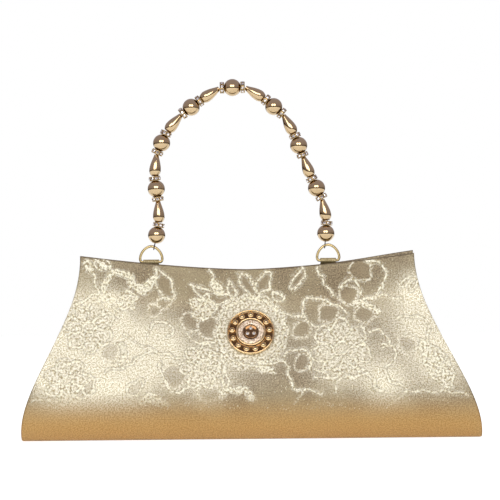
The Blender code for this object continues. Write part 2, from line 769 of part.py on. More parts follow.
def taper_mesh(name):
    """A tapered bead on local Z, its narrow end up."""
    shares = (0, 0.12, 0.3, 0.48, 0.64, TAPER_FAT_PLACE, 0.86, 0.95, 1)
    profile = [(BORE_RADIUS, TAPER_LENGTH / 2)]
    profile += [(taper_radius(share), TAPER_LENGTH * (0.5 - share)) for share in shares]
    profile.append((BORE_RADIUS, -TAPER_LENGTH / 2))
    return turned_mesh(name, profile, BEAD_STEPS)


def rondelle_mesh(name):
    """A rondelle: a thick rim with a recess on each face for the bead next to it."""
    rim = RONDELLE_RIM / 2
    web = RONDELLE_WEB / 2
    recess = TAPER_FAT_END + RECESS_PLAY
    half = [(BORE_RADIUS, web), (recess, web), (recess, rim), (RONDELLE_RADIUS, rim)]
    return turned_mesh(name, half + [(radius, -height) for radius, height in reversed(half)], RONDELLE_STEPS)


def strand_apart():
    """Distance of each of the two strands in an end ball from its axis."""
    return WIRE_RADIUS + STRAND_PLAY


def loop_points(middle, degrees, outward):
    """One end of the wire, from its tail in the end ball, round the D-ring and up the ball again.
    Outward is 1 where the heading leaves the loop, and -1 where it arrives."""
    up = heading(degrees) * outward
    across = Vector((0, 1, 0))
    apart = across * strand_apart()
    mouth = loop_radius() + WIRE_RADIUS + CLEAR
    tail_end = mouth + TAIL_LENGTH
    points = [middle + up * tail_end + apart, middle + up * mouth + apart]
    for step in range(LOOP_STEPS + 1):
        turn = math.radians((180 - LOOP_SWEEP) / 2 + LOOP_SWEEP * step / LOOP_STEPS)
        points.append(middle + loop_radius() * (across * math.cos(turn) - up * math.sin(turn)))
    points.append(middle + up * mouth - apart)
    points.append(middle + up * (tail_end + 2 * WIRE_RADIUS + CLEAR) - apart)
    points.append(middle + up * (end_ball_reach() + BALL_RADIUS - WIRE_CENTRED))
    return points


def add_handle(finishes, walk, left_loop, pivot):
    tilt, beads, corners, right_loop = walk
    meshes = {
        "ball_bead": ball_mesh("ball_bead", BORE_RADIUS),
        "end_ball": ball_mesh("end_ball", strand_apart() + WIRE_RADIUS + CLEAR),
        "tapered_bead": taper_mesh("tapered_bead"),
        "rondelle": rondelle_mesh("rondelle"),
    }
    counts = dict.fromkeys(("ball_bead", "tapered_bead", "rondelle"), 0)
    for kind, middle, degrees in beads:
        counts[kind] += 1
        last = counts["ball_bead"] in (1, len(BALL_HEADINGS))
        mesh = meshes["end_ball" if kind == "ball_bead" and last else kind]
        finish = finishes["rhinestone" if kind == "rondelle" else "gold"]
        place = facing(left_loop + middle, heading(degrees))
        add_object(f"{kind}_{counts[kind]}", mesh, finish, pivot, place)
    points = loop_points(left_loop, BALL_HEADINGS[0] + tilt, 1)
    points += [left_loop + corner for corner in corners]
    points += reversed(loop_points(left_loop + right_loop, BALL_HEADINGS[-1] + tilt, -1))
    tube("handle_wire", points, WIRE_RADIUS, finishes["wire"], False, pivot)


def make_finishes():
    return {
        "brocade": material("gold_brocade", (0.60, 0.50, 0.32), 0.45, 0.6),
        "satin": material("satin_lining", (0.50, 0.36, 0.17), 0.5),
        "strap": material("gold_strap", (0.56, 0.42, 0.18), 0.45, 0.4),
        "gold": material("gold_plate", (0.75, 0.55, 0.28), 0.12, 1.0),
        "brass": material("brass", (0.70, 0.54, 0.26), 0.25, 1.0),
        "steel": material("steel", (0.55, 0.55, 0.56), 0.35, 1.0),
        "frosted": material("frosted_silver", (0.72, 0.64, 0.60), 0.5, 1.0),
        "crystal": material("crystal", (0.82, 0.76, 0.78), 0.05),
        "rhinestone": material("rhinestone_gold", (0.62, 0.53, 0.42), 0.2, 1.0),
        "wire": material("coated_wire", (0.16, 0.14, 0.16), 0.4),
    }


def main():
    clear_scene()
    finishes = make_finishes()
    front = add_pivot("front_hinge", (0, -BASE_DEPTH / 2, 0))
    walls = add_shell(finishes, front)
    add_snap(finishes, walls, front)
    add_medallion(finishes, walls[-1][0], front)
    walk = level_walk()
    left_loop = Vector((RING_LEFT_X + LOOP_OFFSET, 0, bar_height() + arch_height(LOOP_OFFSET)))
    right_ring_x = left_loop.x + walk[3].x + LOOP_OFFSET
    rings = add_rings(finishes, right_ring_x)
    handle = add_pivot("handle_pivot", left_loop, rings[0])
    add_handle(finishes, walk, left_loop, handle)
    print("handle loops at", tuple(left_loop), "and", tuple(left_loop + walk[3]))


main()
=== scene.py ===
# %% [markdown]
# # A gold brocade clutch bag with a beaded handle
#
# The bag is two stiff covers wrapped in gold brocade. They stand on a flat base,
# and folded cloth gussets close the ends. A string of gold-plated beads makes
# the handle, hung on two D-rings that straps hold at the back of the mouth.
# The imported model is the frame: every piece below is a finer version of one of
# its solids, in the same place, and moves with the same body.

# %% Load the frame
import math

import bmesh
import bpy
import numpy as np
from mathutils import Matrix, Vector


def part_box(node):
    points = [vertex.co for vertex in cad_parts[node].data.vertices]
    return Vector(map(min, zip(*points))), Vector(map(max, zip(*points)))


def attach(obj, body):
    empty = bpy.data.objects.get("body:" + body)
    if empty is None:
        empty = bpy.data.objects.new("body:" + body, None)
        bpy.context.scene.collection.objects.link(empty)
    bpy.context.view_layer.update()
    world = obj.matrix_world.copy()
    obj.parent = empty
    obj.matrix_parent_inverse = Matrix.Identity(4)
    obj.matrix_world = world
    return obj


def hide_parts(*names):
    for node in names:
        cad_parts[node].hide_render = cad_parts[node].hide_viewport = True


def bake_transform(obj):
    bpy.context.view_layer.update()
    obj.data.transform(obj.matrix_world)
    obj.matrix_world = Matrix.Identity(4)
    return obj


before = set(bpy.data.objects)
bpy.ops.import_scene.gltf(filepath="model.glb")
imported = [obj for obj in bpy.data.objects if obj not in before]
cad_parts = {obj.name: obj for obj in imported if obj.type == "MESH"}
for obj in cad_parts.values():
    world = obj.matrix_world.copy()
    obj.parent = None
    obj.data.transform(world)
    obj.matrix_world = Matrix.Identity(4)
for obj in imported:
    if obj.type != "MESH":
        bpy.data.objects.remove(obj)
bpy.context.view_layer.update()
MM = 0.001

# %% [markdown]
# ## Helpers
#
# Colours are written as sRGB hex values, the way a paint program shows them, and
# one function turns them to the linear values that the renderer works with. One
# more function adds a shader node with its settings and its links, so that every
# material below reads as a list of what it is made of.

# %% Colour and node helpers


def colour(code):
    """A linear RGBA colour from an sRGB hex code such as #c9bb9d."""
    parts = [int(code[i : i + 2], 16) / 255 for i in (1, 3, 5)]
    return (*[p / 12.92 if p <= 0.04045 else ((p + 0.055) / 1.055) ** 2.4 for p in parts], 1.0)


def node(tree, kind, inputs=None, **settings):
    """Adds a node. An input is a value, or a socket of another node to link from."""
    made = tree.nodes.new(kind)
    for key, value in settings.items():
        setattr(made, key, value)
    for key, value in (inputs or {}).items():
        if isinstance(value, bpy.types.NodeSocket):
            tree.links.new(value, made.inputs[key])
        else:
            made.inputs[key].default_value = value
    return made


def new_material(name):
    """An empty node tree with its output node."""
    made = bpy.data.materials.new(name)
    made.use_nodes = True
    made.node_tree.nodes.clear()
    return made, made.node_tree


print("white is", colour("#ffffff"), "and champagne is", colour("#c9bb9d"))

# %% [markdown]
# ## The camera
#
# The photograph was taken level with the middle of the whole object, from a good
# distance, so the outlines hardly converge. A long lens from 1.35 m gives that.
# The bag leans half a degree in the picture, so the camera rolls by as much.

# %% Camera
CAMERA_HEIGHT = 130.6 * MM
CAMERA_DISTANCE = 1.35
FIELD_WIDTH = 350 * MM  # width of the frame at the middle of the bag
CAMERA_ROLL = -0.0098  # radians

camera_data = bpy.data.cameras.new("camera")
camera_data.sensor_width = 36
camera_data.lens = camera_data.sensor_width * CAMERA_DISTANCE / FIELD_WIDTH
camera = bpy.data.objects.new("camera", camera_data)
bpy.context.scene.collection.objects.link(camera)
level_view = Matrix.Rotation(math.radians(90), 4, "X") @ Matrix.Rotation(CAMERA_ROLL, 4, "Z")
camera.matrix_world = Matrix.Translation((0, -CAMERA_DISTANCE, CAMERA_HEIGHT)) @ level_view
bpy.context.scene.camera = camera
print("lens", round(camera_data.lens, 1), "mm")

# %% [markdown]
# ## The studio
#
# The picture is a shop photograph: white all round, with a soft shadow. Two round
# softboxes stand left and right of the camera, and their twin reflections are what
# makes the beads read as polished metal. A dim ceiling above and a dark table
# front below the softboxes give the metal something dark to mirror. They are
# panels that only reflections see, as a photographer's black cards would be.

# %% Floor
FLOOR_SIZE = 3.2

bpy.ops.object.select_all(action="DESELECT")
bpy.ops.mesh.primitive_plane_add(size=FLOOR_SIZE, location=(0, 0, -0.3 * MM))
floor = bpy.context.object
floor.name = "floor"
bpy.ops.object.transform_apply()
paper, tree = new_material("white_paper_sweep")
path = node(tree, "ShaderNodeLightPath")
seen = node(
    tree,
    "ShaderNodeMath",
    {0: path.outputs["Is Camera Ray"], 1: path.outputs["Is Glossy Ray"]},
    operation="MAXIMUM",
)
shown = node(
    tree,
    "ShaderNodeMath",
    {0: seen.outputs[0], 1: path.outputs["Is Transmission Ray"]},
    operation="MAXIMUM",
)
matt = node(tree, "ShaderNodeBsdfDiffuse", {"Color": colour("#f4f4f4")})
glow = node(tree, "ShaderNodeEmission", {"Color": colour("#ffffff"), "Strength": 0.72})
lift = node(tree, "ShaderNodeMixShader", {0: shown.outputs[0], 1: matt.outputs[0]})
both = node(tree, "ShaderNodeAddShader", {0: matt.outputs[0], 1: glow.outputs[0]})
tree.links.new(both.outputs[0], lift.inputs[2])
node(tree, "ShaderNodeOutputMaterial", {"Surface": lift.outputs[0]})
floor.data.materials.append(paper)
print("floor", FLOOR_SIZE, "m across")

# %% World
world = bpy.data.worlds.new("studio")
bpy.context.scene.world = world
world.use_nodes = True
tree = world.node_tree
tree.nodes.clear()
path = node(tree, "ShaderNodeLightPath")
seen = node(
    tree,
    "ShaderNodeMath",
    {0: path.outputs["Is Camera Ray"], 1: path.outputs["Is Glossy Ray"]},
    operation="MAXIMUM",
)
shown = node(
    tree,
    "ShaderNodeMath",
    {0: seen.outputs[0], 1: path.outputs["Is Transmission Ray"]},
    operation="MAXIMUM",
)
dim = node(tree, "ShaderNodeBackground", {"Color": colour("#ffffff"), "Strength": 0.5})
white = node(tree, "ShaderNodeBackground", {"Color": colour("#ffffff"), "Strength": 1.0})
mixed = node(
    tree, "ShaderNodeMixShader", {0: shown.outputs[0], 1: dim.outputs[0], 2: white.outputs[0]}
)
node(tree, "ShaderNodeOutputWorld", {"Surface": mixed.outputs[0]})
print("the world shows white behind the bag and lights it at", dim.inputs["Strength"].default_value)

# %% Softboxes


def facing_place(spot, direction):
    """A placing matrix whose local Z points along the direction."""
    return Matrix.Translation(spot) @ direction.to_track_quat("Z", "Y").to_matrix().to_4x4()


AIM = Vector((0, 0, 110 * MM))
SOFTBOX_DISTANCE = 1.25
SOFTBOX_SIZE = 1.1
SOFTBOX_POWER = 3.9

SOFTBOXES = (("softbox_left", -36, 22, 1.15), ("softbox_right", 29, 22, 0.85))


def studio_direction(azimuth, elevation):
    """From the bag towards a lamp: degrees right of the camera and above the horizon."""
    level = math.cos(math.radians(elevation))
    return Vector(
        (
            math.sin(math.radians(azimuth)) * level,
            -math.cos(math.radians(azimuth)) * level,
            math.sin(math.radians(elevation)),
        )
    )


for name, azimuth, elevation, share in SOFTBOXES:
    lamp_data = bpy.data.lights.new(name, "AREA")
    lamp_data.shape = "DISK"
    lamp_data.size = SOFTBOX_SIZE
    lamp_data.energy = SOFTBOX_POWER * share
    lamp = bpy.data.objects.new(name, lamp_data)
    lamp.visible_glossy = False
    bpy.context.scene.collection.objects.link(lamp)
    towards = studio_direction(azimuth, elevation)
    lamp.location = AIM + SOFTBOX_DISTANCE * towards
    lamp.rotation_euler = (-towards).to_track_quat("-Z", "Y").to_euler()
print("two softboxes", SOFTBOX_SIZE, "m across, at", SOFTBOX_DISTANCE, "m")

# %% [markdown]
# What the metal mirrors is made apart from the lamps, so that its brightness can
# be set without changing the light on the cloth. A dome, cut from a UV sphere by
# bisect, gives the dim ceiling. Two bright round cards close to the camera give
# each bead the pair of highlights that nearly join in the photograph. A dark band
# at the foot of the dome is the edge of the table.

# %% Reflection panels


def only_reflected(obj):
    """A panel that no camera and no diffuse light sees."""
    obj.visible_camera = False
    obj.visible_diffuse = False
    obj.visible_shadow = False
    obj.visible_transmission = False


def glow_material(name, stops, low, high):
    """Light that changes with height between low and high, by (share, hex) stops."""
    made, tree = new_material(name)
    place = node(tree, "ShaderNodeTexCoord")
    axes = node(tree, "ShaderNodeSeparateXYZ", {0: place.outputs["Object"]})
    share = node(
        tree, "ShaderNodeMapRange", {0: axes.outputs["Z"], "From Min": low, "From Max": high}
    )
    ramp = node(tree, "ShaderNodeValToRGB", {0: share.outputs[0]})
    for index, (spot, code) in enumerate(stops):
        if index > 1:
            ramp.color_ramp.elements.new(spot)
    for element, (spot, code) in zip(ramp.color_ramp.elements, stops):
        element.position = spot
        element.color = colour(code)
    light = node(tree, "ShaderNodeEmission", {"Color": ramp.outputs[0]})
    node(tree, "ShaderNodeOutputMaterial", {"Surface": light.outputs[0]})
    return made


DOME_RADIUS = 2.2

bpy.ops.object.select_all(action="DESELECT")
bpy.ops.mesh.primitive_uv_sphere_add(segments=48, ring_count=32, radius=DOME_RADIUS)
dome = bpy.context.object
dome.name = "studio_dome"
bpy.ops.object.mode_set(mode="EDIT")
bpy.ops.mesh.select_all(action="SELECT")
bpy.ops.mesh.bisect(
    plane_co=(0, 0, -0.02), plane_no=(0, 0, 1), clear_inner=True, use_fill=False
)
bpy.ops.object.mode_set(mode="OBJECT")
dome_stops = [(0.0, "#5a4a3e"), (0.1, "#8f8580"), (0.3, "#b4adb6"), (1.0, "#bcb6c4")]
dome.data.materials.append(glow_material("studio_ceiling", dome_stops, 0.0, DOME_RADIUS))
only_reflected(dome)
print("dome", len(dome.data.polygons), "faces")

# %% Bright cards and table edge
CARD_RADIUS = 0.3
CARD_LIGHT = 5.0
CARDS = (("card_left", -17, 25), ("card_right", 12, 25))
TABLE_RADIUS = 1.6
TABLE_EDGE = 0.16

glare, tree = new_material("bright_card")
light = node(tree, "ShaderNodeEmission", {"Color": colour("#fffaf2"), "Strength": CARD_LIGHT})
node(tree, "ShaderNodeOutputMaterial", {"Surface": light.outputs[0]})
for name, azimuth, elevation in CARDS:
    bpy.ops.object.select_all(action="DESELECT")
    bpy.ops.mesh.primitive_circle_add(vertices=48, radius=CARD_RADIUS, fill_type="NGON")
    card = bpy.context.object
    card.name = name
    towards = studio_direction(azimuth, elevation)
    card.data.transform(facing_place(AIM + SOFTBOX_DISTANCE * towards, -towards))
    card.data.materials.append(glare)
    only_reflected(card)

bpy.ops.object.select_all(action="DESELECT")
bpy.ops.mesh.primitive_cylinder_add(
    vertices=64,
    radius=TABLE_RADIUS,
    depth=TABLE_EDGE,
    end_fill_type="NOTHING",
    location=(0, 0, TABLE_EDGE / 2),
)
table_edge = bpy.context.object
table_edge.name = "table_edge"
bpy.ops.object.transform_apply()
edge_stops = [(0.0, "#35291f"), (0.8, "#3f3228"), (1.0, "#5a4a3e")]
table_edge.data.materials.append(glow_material("table_edge", edge_stops, 0.0, TABLE_EDGE))
only_reflected(table_edge)
print("two bright cards", 2 * CARD_RADIUS, "m across")

# %% [markdown]
# ## Making pieces
#
# A few helpers stand for what a modeller does by hand all the time: pick one
# object, enter edit mode, select by place, and turn a profile on a lathe. The
# lathe starts from a plane merged to a single point. The point is extruded along
# the profile, and spin carries the line round.

# %% Modelling helpers


def pick_only(obj):
    bpy.ops.object.select_all(action="DESELECT")
    obj.select_set(True)
    bpy.context.view_layer.objects.active = obj


def choose(kind, test):
    """In edit mode, selects the verts, edges or faces that pass the test, and nothing else."""
    modes = {"verts": "VERT", "edges": "EDGE", "faces": "FACE"}
    bpy.ops.mesh.select_mode(type=modes[kind])
    shape = bmesh.from_edit_mesh(bpy.context.edit_object.data)
    for item in [*shape.verts, *shape.edges, *shape.faces]:
        item.select_set(False)
    for item in getattr(shape, kind):
        if test(item):
            item.select_set(True)
    bmesh.update_edit_mesh(bpy.context.edit_object.data)


def close_up(obj, degrees=30, gap=0.004 * MM):
    """Merges doubles, turns the faces outwards and smooths the round ones."""
    pick_only(obj)
    bpy.ops.object.mode_set(mode="EDIT")
    bpy.ops.mesh.select_all(action="SELECT")
    bpy.ops.mesh.remove_doubles(threshold=gap)
    bpy.ops.mesh.normals_make_consistent(inside=False)
    bpy.ops.object.mode_set(mode="OBJECT")
    bpy.ops.object.shade_smooth_by_angle(angle=math.radians(degrees))
    return obj


def turned(name, profile, steps, degrees=30):
    """A piece turned on local Z from its profile, a list of (radius, height)."""
    bpy.ops.object.select_all(action="DESELECT")
    bpy.ops.mesh.primitive_plane_add(size=MM)
    obj = bpy.context.object
    obj.name = name
    bpy.ops.object.mode_set(mode="EDIT")
    bpy.ops.mesh.select_mode(type="VERT")
    bpy.ops.mesh.select_all(action="SELECT")
    bpy.ops.mesh.merge(type="CENTER")
    bpy.ops.transform.translate(value=(profile[0][0], 0, profile[0][1]))
    for (from_r, from_z), (to_r, to_z) in zip(profile, profile[1:]):
        step = {"value": (to_r - from_r, 0, to_z - from_z)}
        bpy.ops.mesh.extrude_vertices_move(TRANSFORM_OT_translate=step)
    bpy.ops.mesh.select_all(action="SELECT")
    bpy.ops.mesh.spin(steps=steps, angle=math.tau, center=(0, 0, 0), axis=(0, 0, 1))
    bpy.ops.object.mode_set(mode="OBJECT")
    return close_up(obj, degrees)


def copied(source, name, place):
    """A copy with its own mesh, moved to the place."""
    made = source.copy()
    made.data = source.data.copy()
    made.name = name
    made.data.name = name
    bpy.context.scene.collection.objects.link(made)
    made.data.transform(place)
    return made


def finished(obj, body, finish, slot, *nodes):
    """Gives a piece its material and its body, and hides the solids that it stands for."""
    obj.data.materials.clear()
    obj.data.materials.append(finish)
    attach(obj, body)
    if nodes:
        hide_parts(*nodes)
    return obj


def arc(middle, radius, start, end, steps):
    """Points of a circular arc as (radius, height), angles in degrees."""
    turns = np.radians(np.linspace(start, end, steps + 1))
    return [
        (middle[0] + radius * math.cos(t), middle[1] + radius * math.sin(t)) for t in turns
    ]


print("helpers ready")

# %% [markdown]
# ## The covers' shape
#
# Each cover is one curved sheet: narrow and upright at the mouth, leaning out to
# a round belly, and drawn in again to the base. These are the same curves as the
# solid's, written for whole arrays of points at a time. Across runs from -1 at
# the left edge to 1, level from 0 at the base to 1 at the top corners.

# %% Cover curves
front_low, front_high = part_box("front_cover")
back_low, back_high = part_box("back_cover")
BASE_WIDTH = front_high[0] - front_low[0]
HEIGHT = front_high[2] - front_low[2]
BELLY_DEPTH = back_high[1] - front_low[1]
BACK_RISE = 2.0 * MM
TOP_WIDTH = 233 * MM
TOP_SHIFT = -2.1 * MM
SAG = 10.3 * MM
FLARE = 0.95
BASE_DEPTH = 36 * MM
BELLY_HEIGHT = 30 * MM
MOUTH_DEPTH = 12 * MM
LIP = 20 * MM
LEAN_EASE = 0.2
COVER_THICK = 2.4 * MM
CLEAR = 0.3 * MM


def smooth_step(t):
    t = np.clip(t, 0, 1)
    return t * t * (3 - 2 * t)


def eased_step(t, ease):
    """From 0 to 1 along a straight line that is rounded off at both ends."""
    t = np.clip(t, 0, 1)
    near = np.minimum(t, 1 - t)
    share = np.where(near < ease, near**2 / (2 * ease * (1 - ease)), (near - ease / 2) / (1 - ease))
    return np.where(t > 0.5, 1 - share, share)


def half_width(level):
    drawn_in = smooth_step(np.maximum(level, 0) ** FLARE)
    return (BASE_WIDTH - (BASE_WIDTH - TOP_WIDTH) * drawn_in) / 2


def half_depth(height):
    bulge = (BELLY_DEPTH - BASE_DEPTH) / 2
    radius = (bulge**2 + BELLY_HEIGHT**2) / (2 * bulge)
    drop = np.maximum(BELLY_HEIGHT - height, 0)
    foot = BELLY_DEPTH / 2 - radius + np.sqrt(radius**2 - drop**2)
    climb = (height - BELLY_HEIGHT) / (HEIGHT - LIP - BELLY_HEIGHT)
    lean = MOUTH_DEPTH / 2 + (BELLY_DEPTH - MOUTH_DEPTH) / 2 * (1 - eased_step(climb, LEAN_EASE))
    return np.where(height < BELLY_HEIGHT, foot, lean)


def top_height(side, across):
    rise = BACK_RISE * smooth_step((across - 0.4) / 0.6) if side > 0 else 0.0
    return HEIGHT + rise - SAG * (1 - np.abs(across) ** 1.5)


def cover_skin(side, across, level):
    """Points of a cover's outer face; side is -1 at the front and 1 at the back."""
    height = level * HEIGHT
    x = TOP_SHIFT * level + across * half_width(level)
    y = side * half_depth(height)
    squeeze = (top_height(side, across) - BELLY_HEIGHT) / (HEIGHT - BELLY_HEIGHT)
    z = np.where(height > BELLY_HEIGHT, BELLY_HEIGHT + (height - BELLY_HEIGHT) * squeeze, height)
    return np.stack(np.broadcast_arrays(x, y, z), axis=-1)


def cover_normal(side, across, level):
    step = 1e-3
    level = np.clip(level, step, 1 - step)
    along = cover_skin(side, across + step, level) - cover_skin(side, across - step, level)
    up = cover_skin(side, across, level + step) - cover_skin(side, across, level - step)
    normal = np.cross(along, up)
    normal /= np.linalg.norm(normal, axis=-1, keepdims=True)
    return np.where(normal[..., 1:2] * side > 0, normal, -normal)


def cover_place(side, x, z):
    """Across and level of the place on a cover at x and height z."""
    across = np.zeros_like(x)
    for _ in range(4):
        squeeze = (top_height(side, across) - BELLY_HEIGHT) / (HEIGHT - BELLY_HEIGHT)
        above = BELLY_HEIGHT + (z - BELLY_HEIGHT) / squeeze
        level = np.where(z < BELLY_HEIGHT, z, above) / HEIGHT
        across = (x - TOP_SHIFT * level) / half_width(level)
    return across, level


LEVELS = np.linspace(0, 1, 401)
profile_points = cover_skin(-1, np.full(401, 0.7), LEVELS)
profile_steps = np.linalg.norm(np.diff(profile_points, axis=0), axis=1)
PROFILE_LENGTH = profile_steps.sum()
PROFILE_SHARES = np.concatenate([[0], np.cumsum(profile_steps)]) / PROFILE_LENGTH
print("each cover is", round(PROFILE_LENGTH / MM), "mm of cloth from base to mouth")

# %% [markdown]
# ## The brocade's flowers and vines
#
# Brocade is woven with extra gold threads that float over the ground and draw
# scrolling vines, ribbed leaves, scalloped arches and open flowers. The layout
# below is a list of such motifs on the cloth, as seen from the front: a kind, a
# size and the points it runs through, all in millimetres. Curves go smoothly
# through the points, so that a few points say enough.

# %% Motif layout
MOTIFS = [
    ("leaf", 5, (-55, 96), (-60, 107), (-65, 119)),
    ("leaf", 2.6, (-81, 108), (-74, 104), (-65, 114)),
    ("leaf", 1.8, (-116, 123), (-109, 117)),
    ("leaf", 1.8, (-109, 125), (-103, 118)),
    ("leaf", 1.8, (-103, 125), (-98, 118)),
    ("vine", 1.2, (-113, 124), (-108, 109), (-104, 95)),
    ("scallop", 3, (-100, 97), (-101, 104), (-99, 111), (-92, 115), (-85, 112), (-83, 105)),
    ("flower", 6.3, (-86, 96)),
    ("vine", 1, (-95, 92), (-92, 89), (-92, 85)),
    ("disc", 3, (-60, 94)),
    ("disc", 3, (-67, 89)),
    ("vine", 1.4, (-71, 72), (-68, 80), (-60, 82), (-54, 76), (-57, 71)),
    ("vine", 1.4, (-87, 73), (-78, 67), (-67, 62), (-53, 58), (-46, 56)),
    ("vine", 1.2, (-67, 61), (-80, 57), (-84, 52), (-99, 49)),
    ("disc", 6, (-97, 61)),
    ("scallop", 3, (-92, 67), (-88, 61), (-91, 54)),
    ("vine", 1, (-119, 95), (-111, 100), (-102, 99)),
    ("vine", 1, (-127, 80), (-117, 82), (-108, 82)),
    ("flower", 17, (-112, 78)),
    ("flower", 15, (-126, 42)),
    ("leaf", 4, (-108, 43), (-113, 36), (-121, 31)),
    ("leaf", 4, (-85, 32), (-79, 37), (-75, 44)),
    ("leaf", 3.4, (-77, 28), (-67, 29), (-56, 24)),
    ("vine", 1.4, (-63, 54), (-61, 47), (-59, 40), (-52, 34), (-42, 37)),
    ("disc", 7.5, (-53, 45)),
    ("flower", 14.5, (-33, 51)),
    ("leaf", 2.2, (-17, 36), (-19, 46), (-22, 57)),
    ("scallop", 3, (-20, 31), (-16, 34), (-11, 34), (-5, 34), (0, 27)),
    ("disc", 6, (-29, 34)),
    ("disc", 5, (-42, 81)),
    ("vine", 1.2, (-44, 73), (-40, 69), (-34, 67), (-26, 67)),
    ("disc", 6.6, (-29, 77)),
    ("leaf", 3.6, (-13, 97), (-28, 98), (-41, 107)),
    ("leaf", 3, (-19, 100), (-23, 104), (-26, 111)),
    ("leaf", 2.4, (-13, 97), (-13, 103), (-15, 109)),
    ("flower", 8.5, (-33, 91)),
    ("vine", 1, (-28, 120), (-28, 116), (-25, 109)),
    ("leaf", 4.2, (5, 98), (-1, 105), (-8, 115)),
    ("rim", 23, (0, 74)),
    ("vine", 1.2, (-6, 96), (6, 96), (16, 92), (22, 86), (26, 72)),
    ("leaf", 5, (5, 101), (9, 107), (13, 115)),
    ("leaf", 2.2, (23, 95), (19, 98), (15, 102)),
    ("leaf", 3.6, (29, 104), (34, 111), (37, 118)),
    ("vine", 1.2, (47, 118), (51, 108), (58, 99)),
    ("vine", 1.4, (80, 123), (85, 122), (93, 118), (94, 110), (90, 101), (81, 96), (72, 89)),
    ("disc", 6.6, (77, 116)),
    ("vine", 1.2, (64, 103), (65, 107), (69, 110), (74, 108), (77, 98)),
    ("disc", 5.4, (68, 99)),
    ("vine", 1.2, (82, 96), (95, 98), (105, 95)),
    ("vine", 1.4, (39, 82), (36, 88), (37, 93), (40, 96), (45, 97), (54, 94), (63, 90), (67, 85)),
    ("disc", 5.6, (54, 86)),
    ("disc", 5, (79, 85)),
    ("scallop", 2.6, (72, 93), (79, 92), (85, 89), (88, 85)),
    ("vine", 1.2, (22, 86), (36, 84), (40, 80), (47, 77)),
    ("disc", 4.8, (35, 75)),
    ("flower", 20, (62, 62)),
    ("vine", 1.2, (82, 74), (89, 74), (94, 70), (95, 65), (89, 64)),
    ("vine", 1.4, (91, 62), (98, 64), (100, 58), (92, 46), (98, 39), (107, 35)),
    ("leaf", 8, (136, 36), (128, 51), (117, 67)),
    ("vine", 1.4, (101, 82), (110, 84), (119, 82), (123, 76), (121, 67), (114, 62)),
    ("disc", 5.4, (108, 65)),
    ("leaf", 2, (105, 104), (112, 112)),
    ("leaf", 2, (111, 102), (118, 109)),
    ("vine", 1.4, (57, 34), (60, 41), (71, 44), (82, 43), (86, 35), (97, 29)),
    ("vine", 1.2, (30, 26), (35, 33), (40, 35), (48, 32)),
    ("vine", 1.2, (9, 51), (19, 54), (25, 50), (26, 43), (30, 36), (33, 34)),
    ("scallop", 2.6, (4, 54), (9, 48), (15, 47)),
    ("vine", 1.2, (23, 56), (27, 61), (36, 62), (40, 57), (41, 47)),
    ("disc", 4.2, (35, 53)),
    ("dots", 2, (44, 49), (52, 47), (61, 50)),
    ("dots", 2, (43, 44), (52, 42), (61, 45)),
    ("vine", 1.2, (67, 52), (76, 48), (84, 41)),
    ("vine", 1.2, (90, 21), (98, 27), (108, 33), (119, 33), (139, 32), (148, 29)),
    ("dots", 2, (-149, 28), (-141, 30), (-133, 27)),
    ("dots", 2.6, (-105, 26), (-89, 28), (-75, 23)),
    ("dots", 2.6, (-45, 26), (-27, 23), (-7, 23)),
    ("dots", 2.6, (8, 23), (27, 21), (55, 24), (75, 21)),
]

# Broad areas where pale floats lie loosely between the motifs, and where the cloth is painted paler as painted sheen:
# x, z and reach, in mm.
VEILS_AND_SHEEN = [
    (-118, 76, 30), (-88, 48, 25), (-62, 64, 21), (-126, 44, 21), (-98, 90, 12),
    (-30, 46, 17), (0, 70, 21), (62, 58, 20), (92, 40, 16), (116, 84, 24), (130, 54, 20),
    (114, 104, 9), (-132, 62, 22), (-104, 62, 22),
]
print(len(MOTIFS), "motifs and", len(VEILS_AND_SHEEN), "veils")

# %% [markdown]
# Every motif is turned into threads, which are plain lines of points. A vine is
# one thread. A leaf is its outline and its ribs, a flower its scalloped outline
# and the lines between its petals. Leaves, flowers and discs also say how their
# inside looks: smooth and dark, or closely covered with short floats.

# %% Motifs to threads
THREAD_STEP = 0.7  # mm between points of a thread


def through(points, step=THREAD_STEP):
    """A smooth line through the points (Catmull-Rom), with points a step apart."""
    p = np.array(points, float)
    p = np.vstack([2 * p[0] - p[1], p, 2 * p[-1] - p[-2]])
    line = []
    for a, b, c, d in zip(p, p[1:], p[2:], p[3:]):
        count = max(int(np.linalg.norm(c - b) / step), 2)
        t = np.linspace(0, 1, count, endpoint=False)[:, None]
        curve = 2 * b + (c - a) * t + (2 * a - 5 * b + 4 * c - d) * t**2
        line.append((curve + (3 * b - a - 3 * c + d) * t**3) / 2)
    return np.vstack([*line, p[-2:-1]])


def sideways(line):
    """Unit vectors square to the line, to its left."""
    along = np.gradient(line, axis=0)
    along /= np.linalg.norm(along, axis=1, keepdims=True) + 1e-9
    return np.stack([-along[:, 1], along[:, 0]], axis=1)


def circle(middle, radius, wave=0.0, lobes=1, turn=0.0):
    """A closed line round a middle; with a wave its rim is lobed."""
    t = np.linspace(0, math.tau, max(int(math.tau * radius / THREAD_STEP), 12) + 1)
    r = radius * (1 - wave * (1 - np.abs(np.cos((t - turn) * lobes / 2))))
    return np.array(middle) + np.stack([r * np.cos(t), r * np.sin(t)], axis=1)


def vine_threads(size, points):
    return [through(points)], []


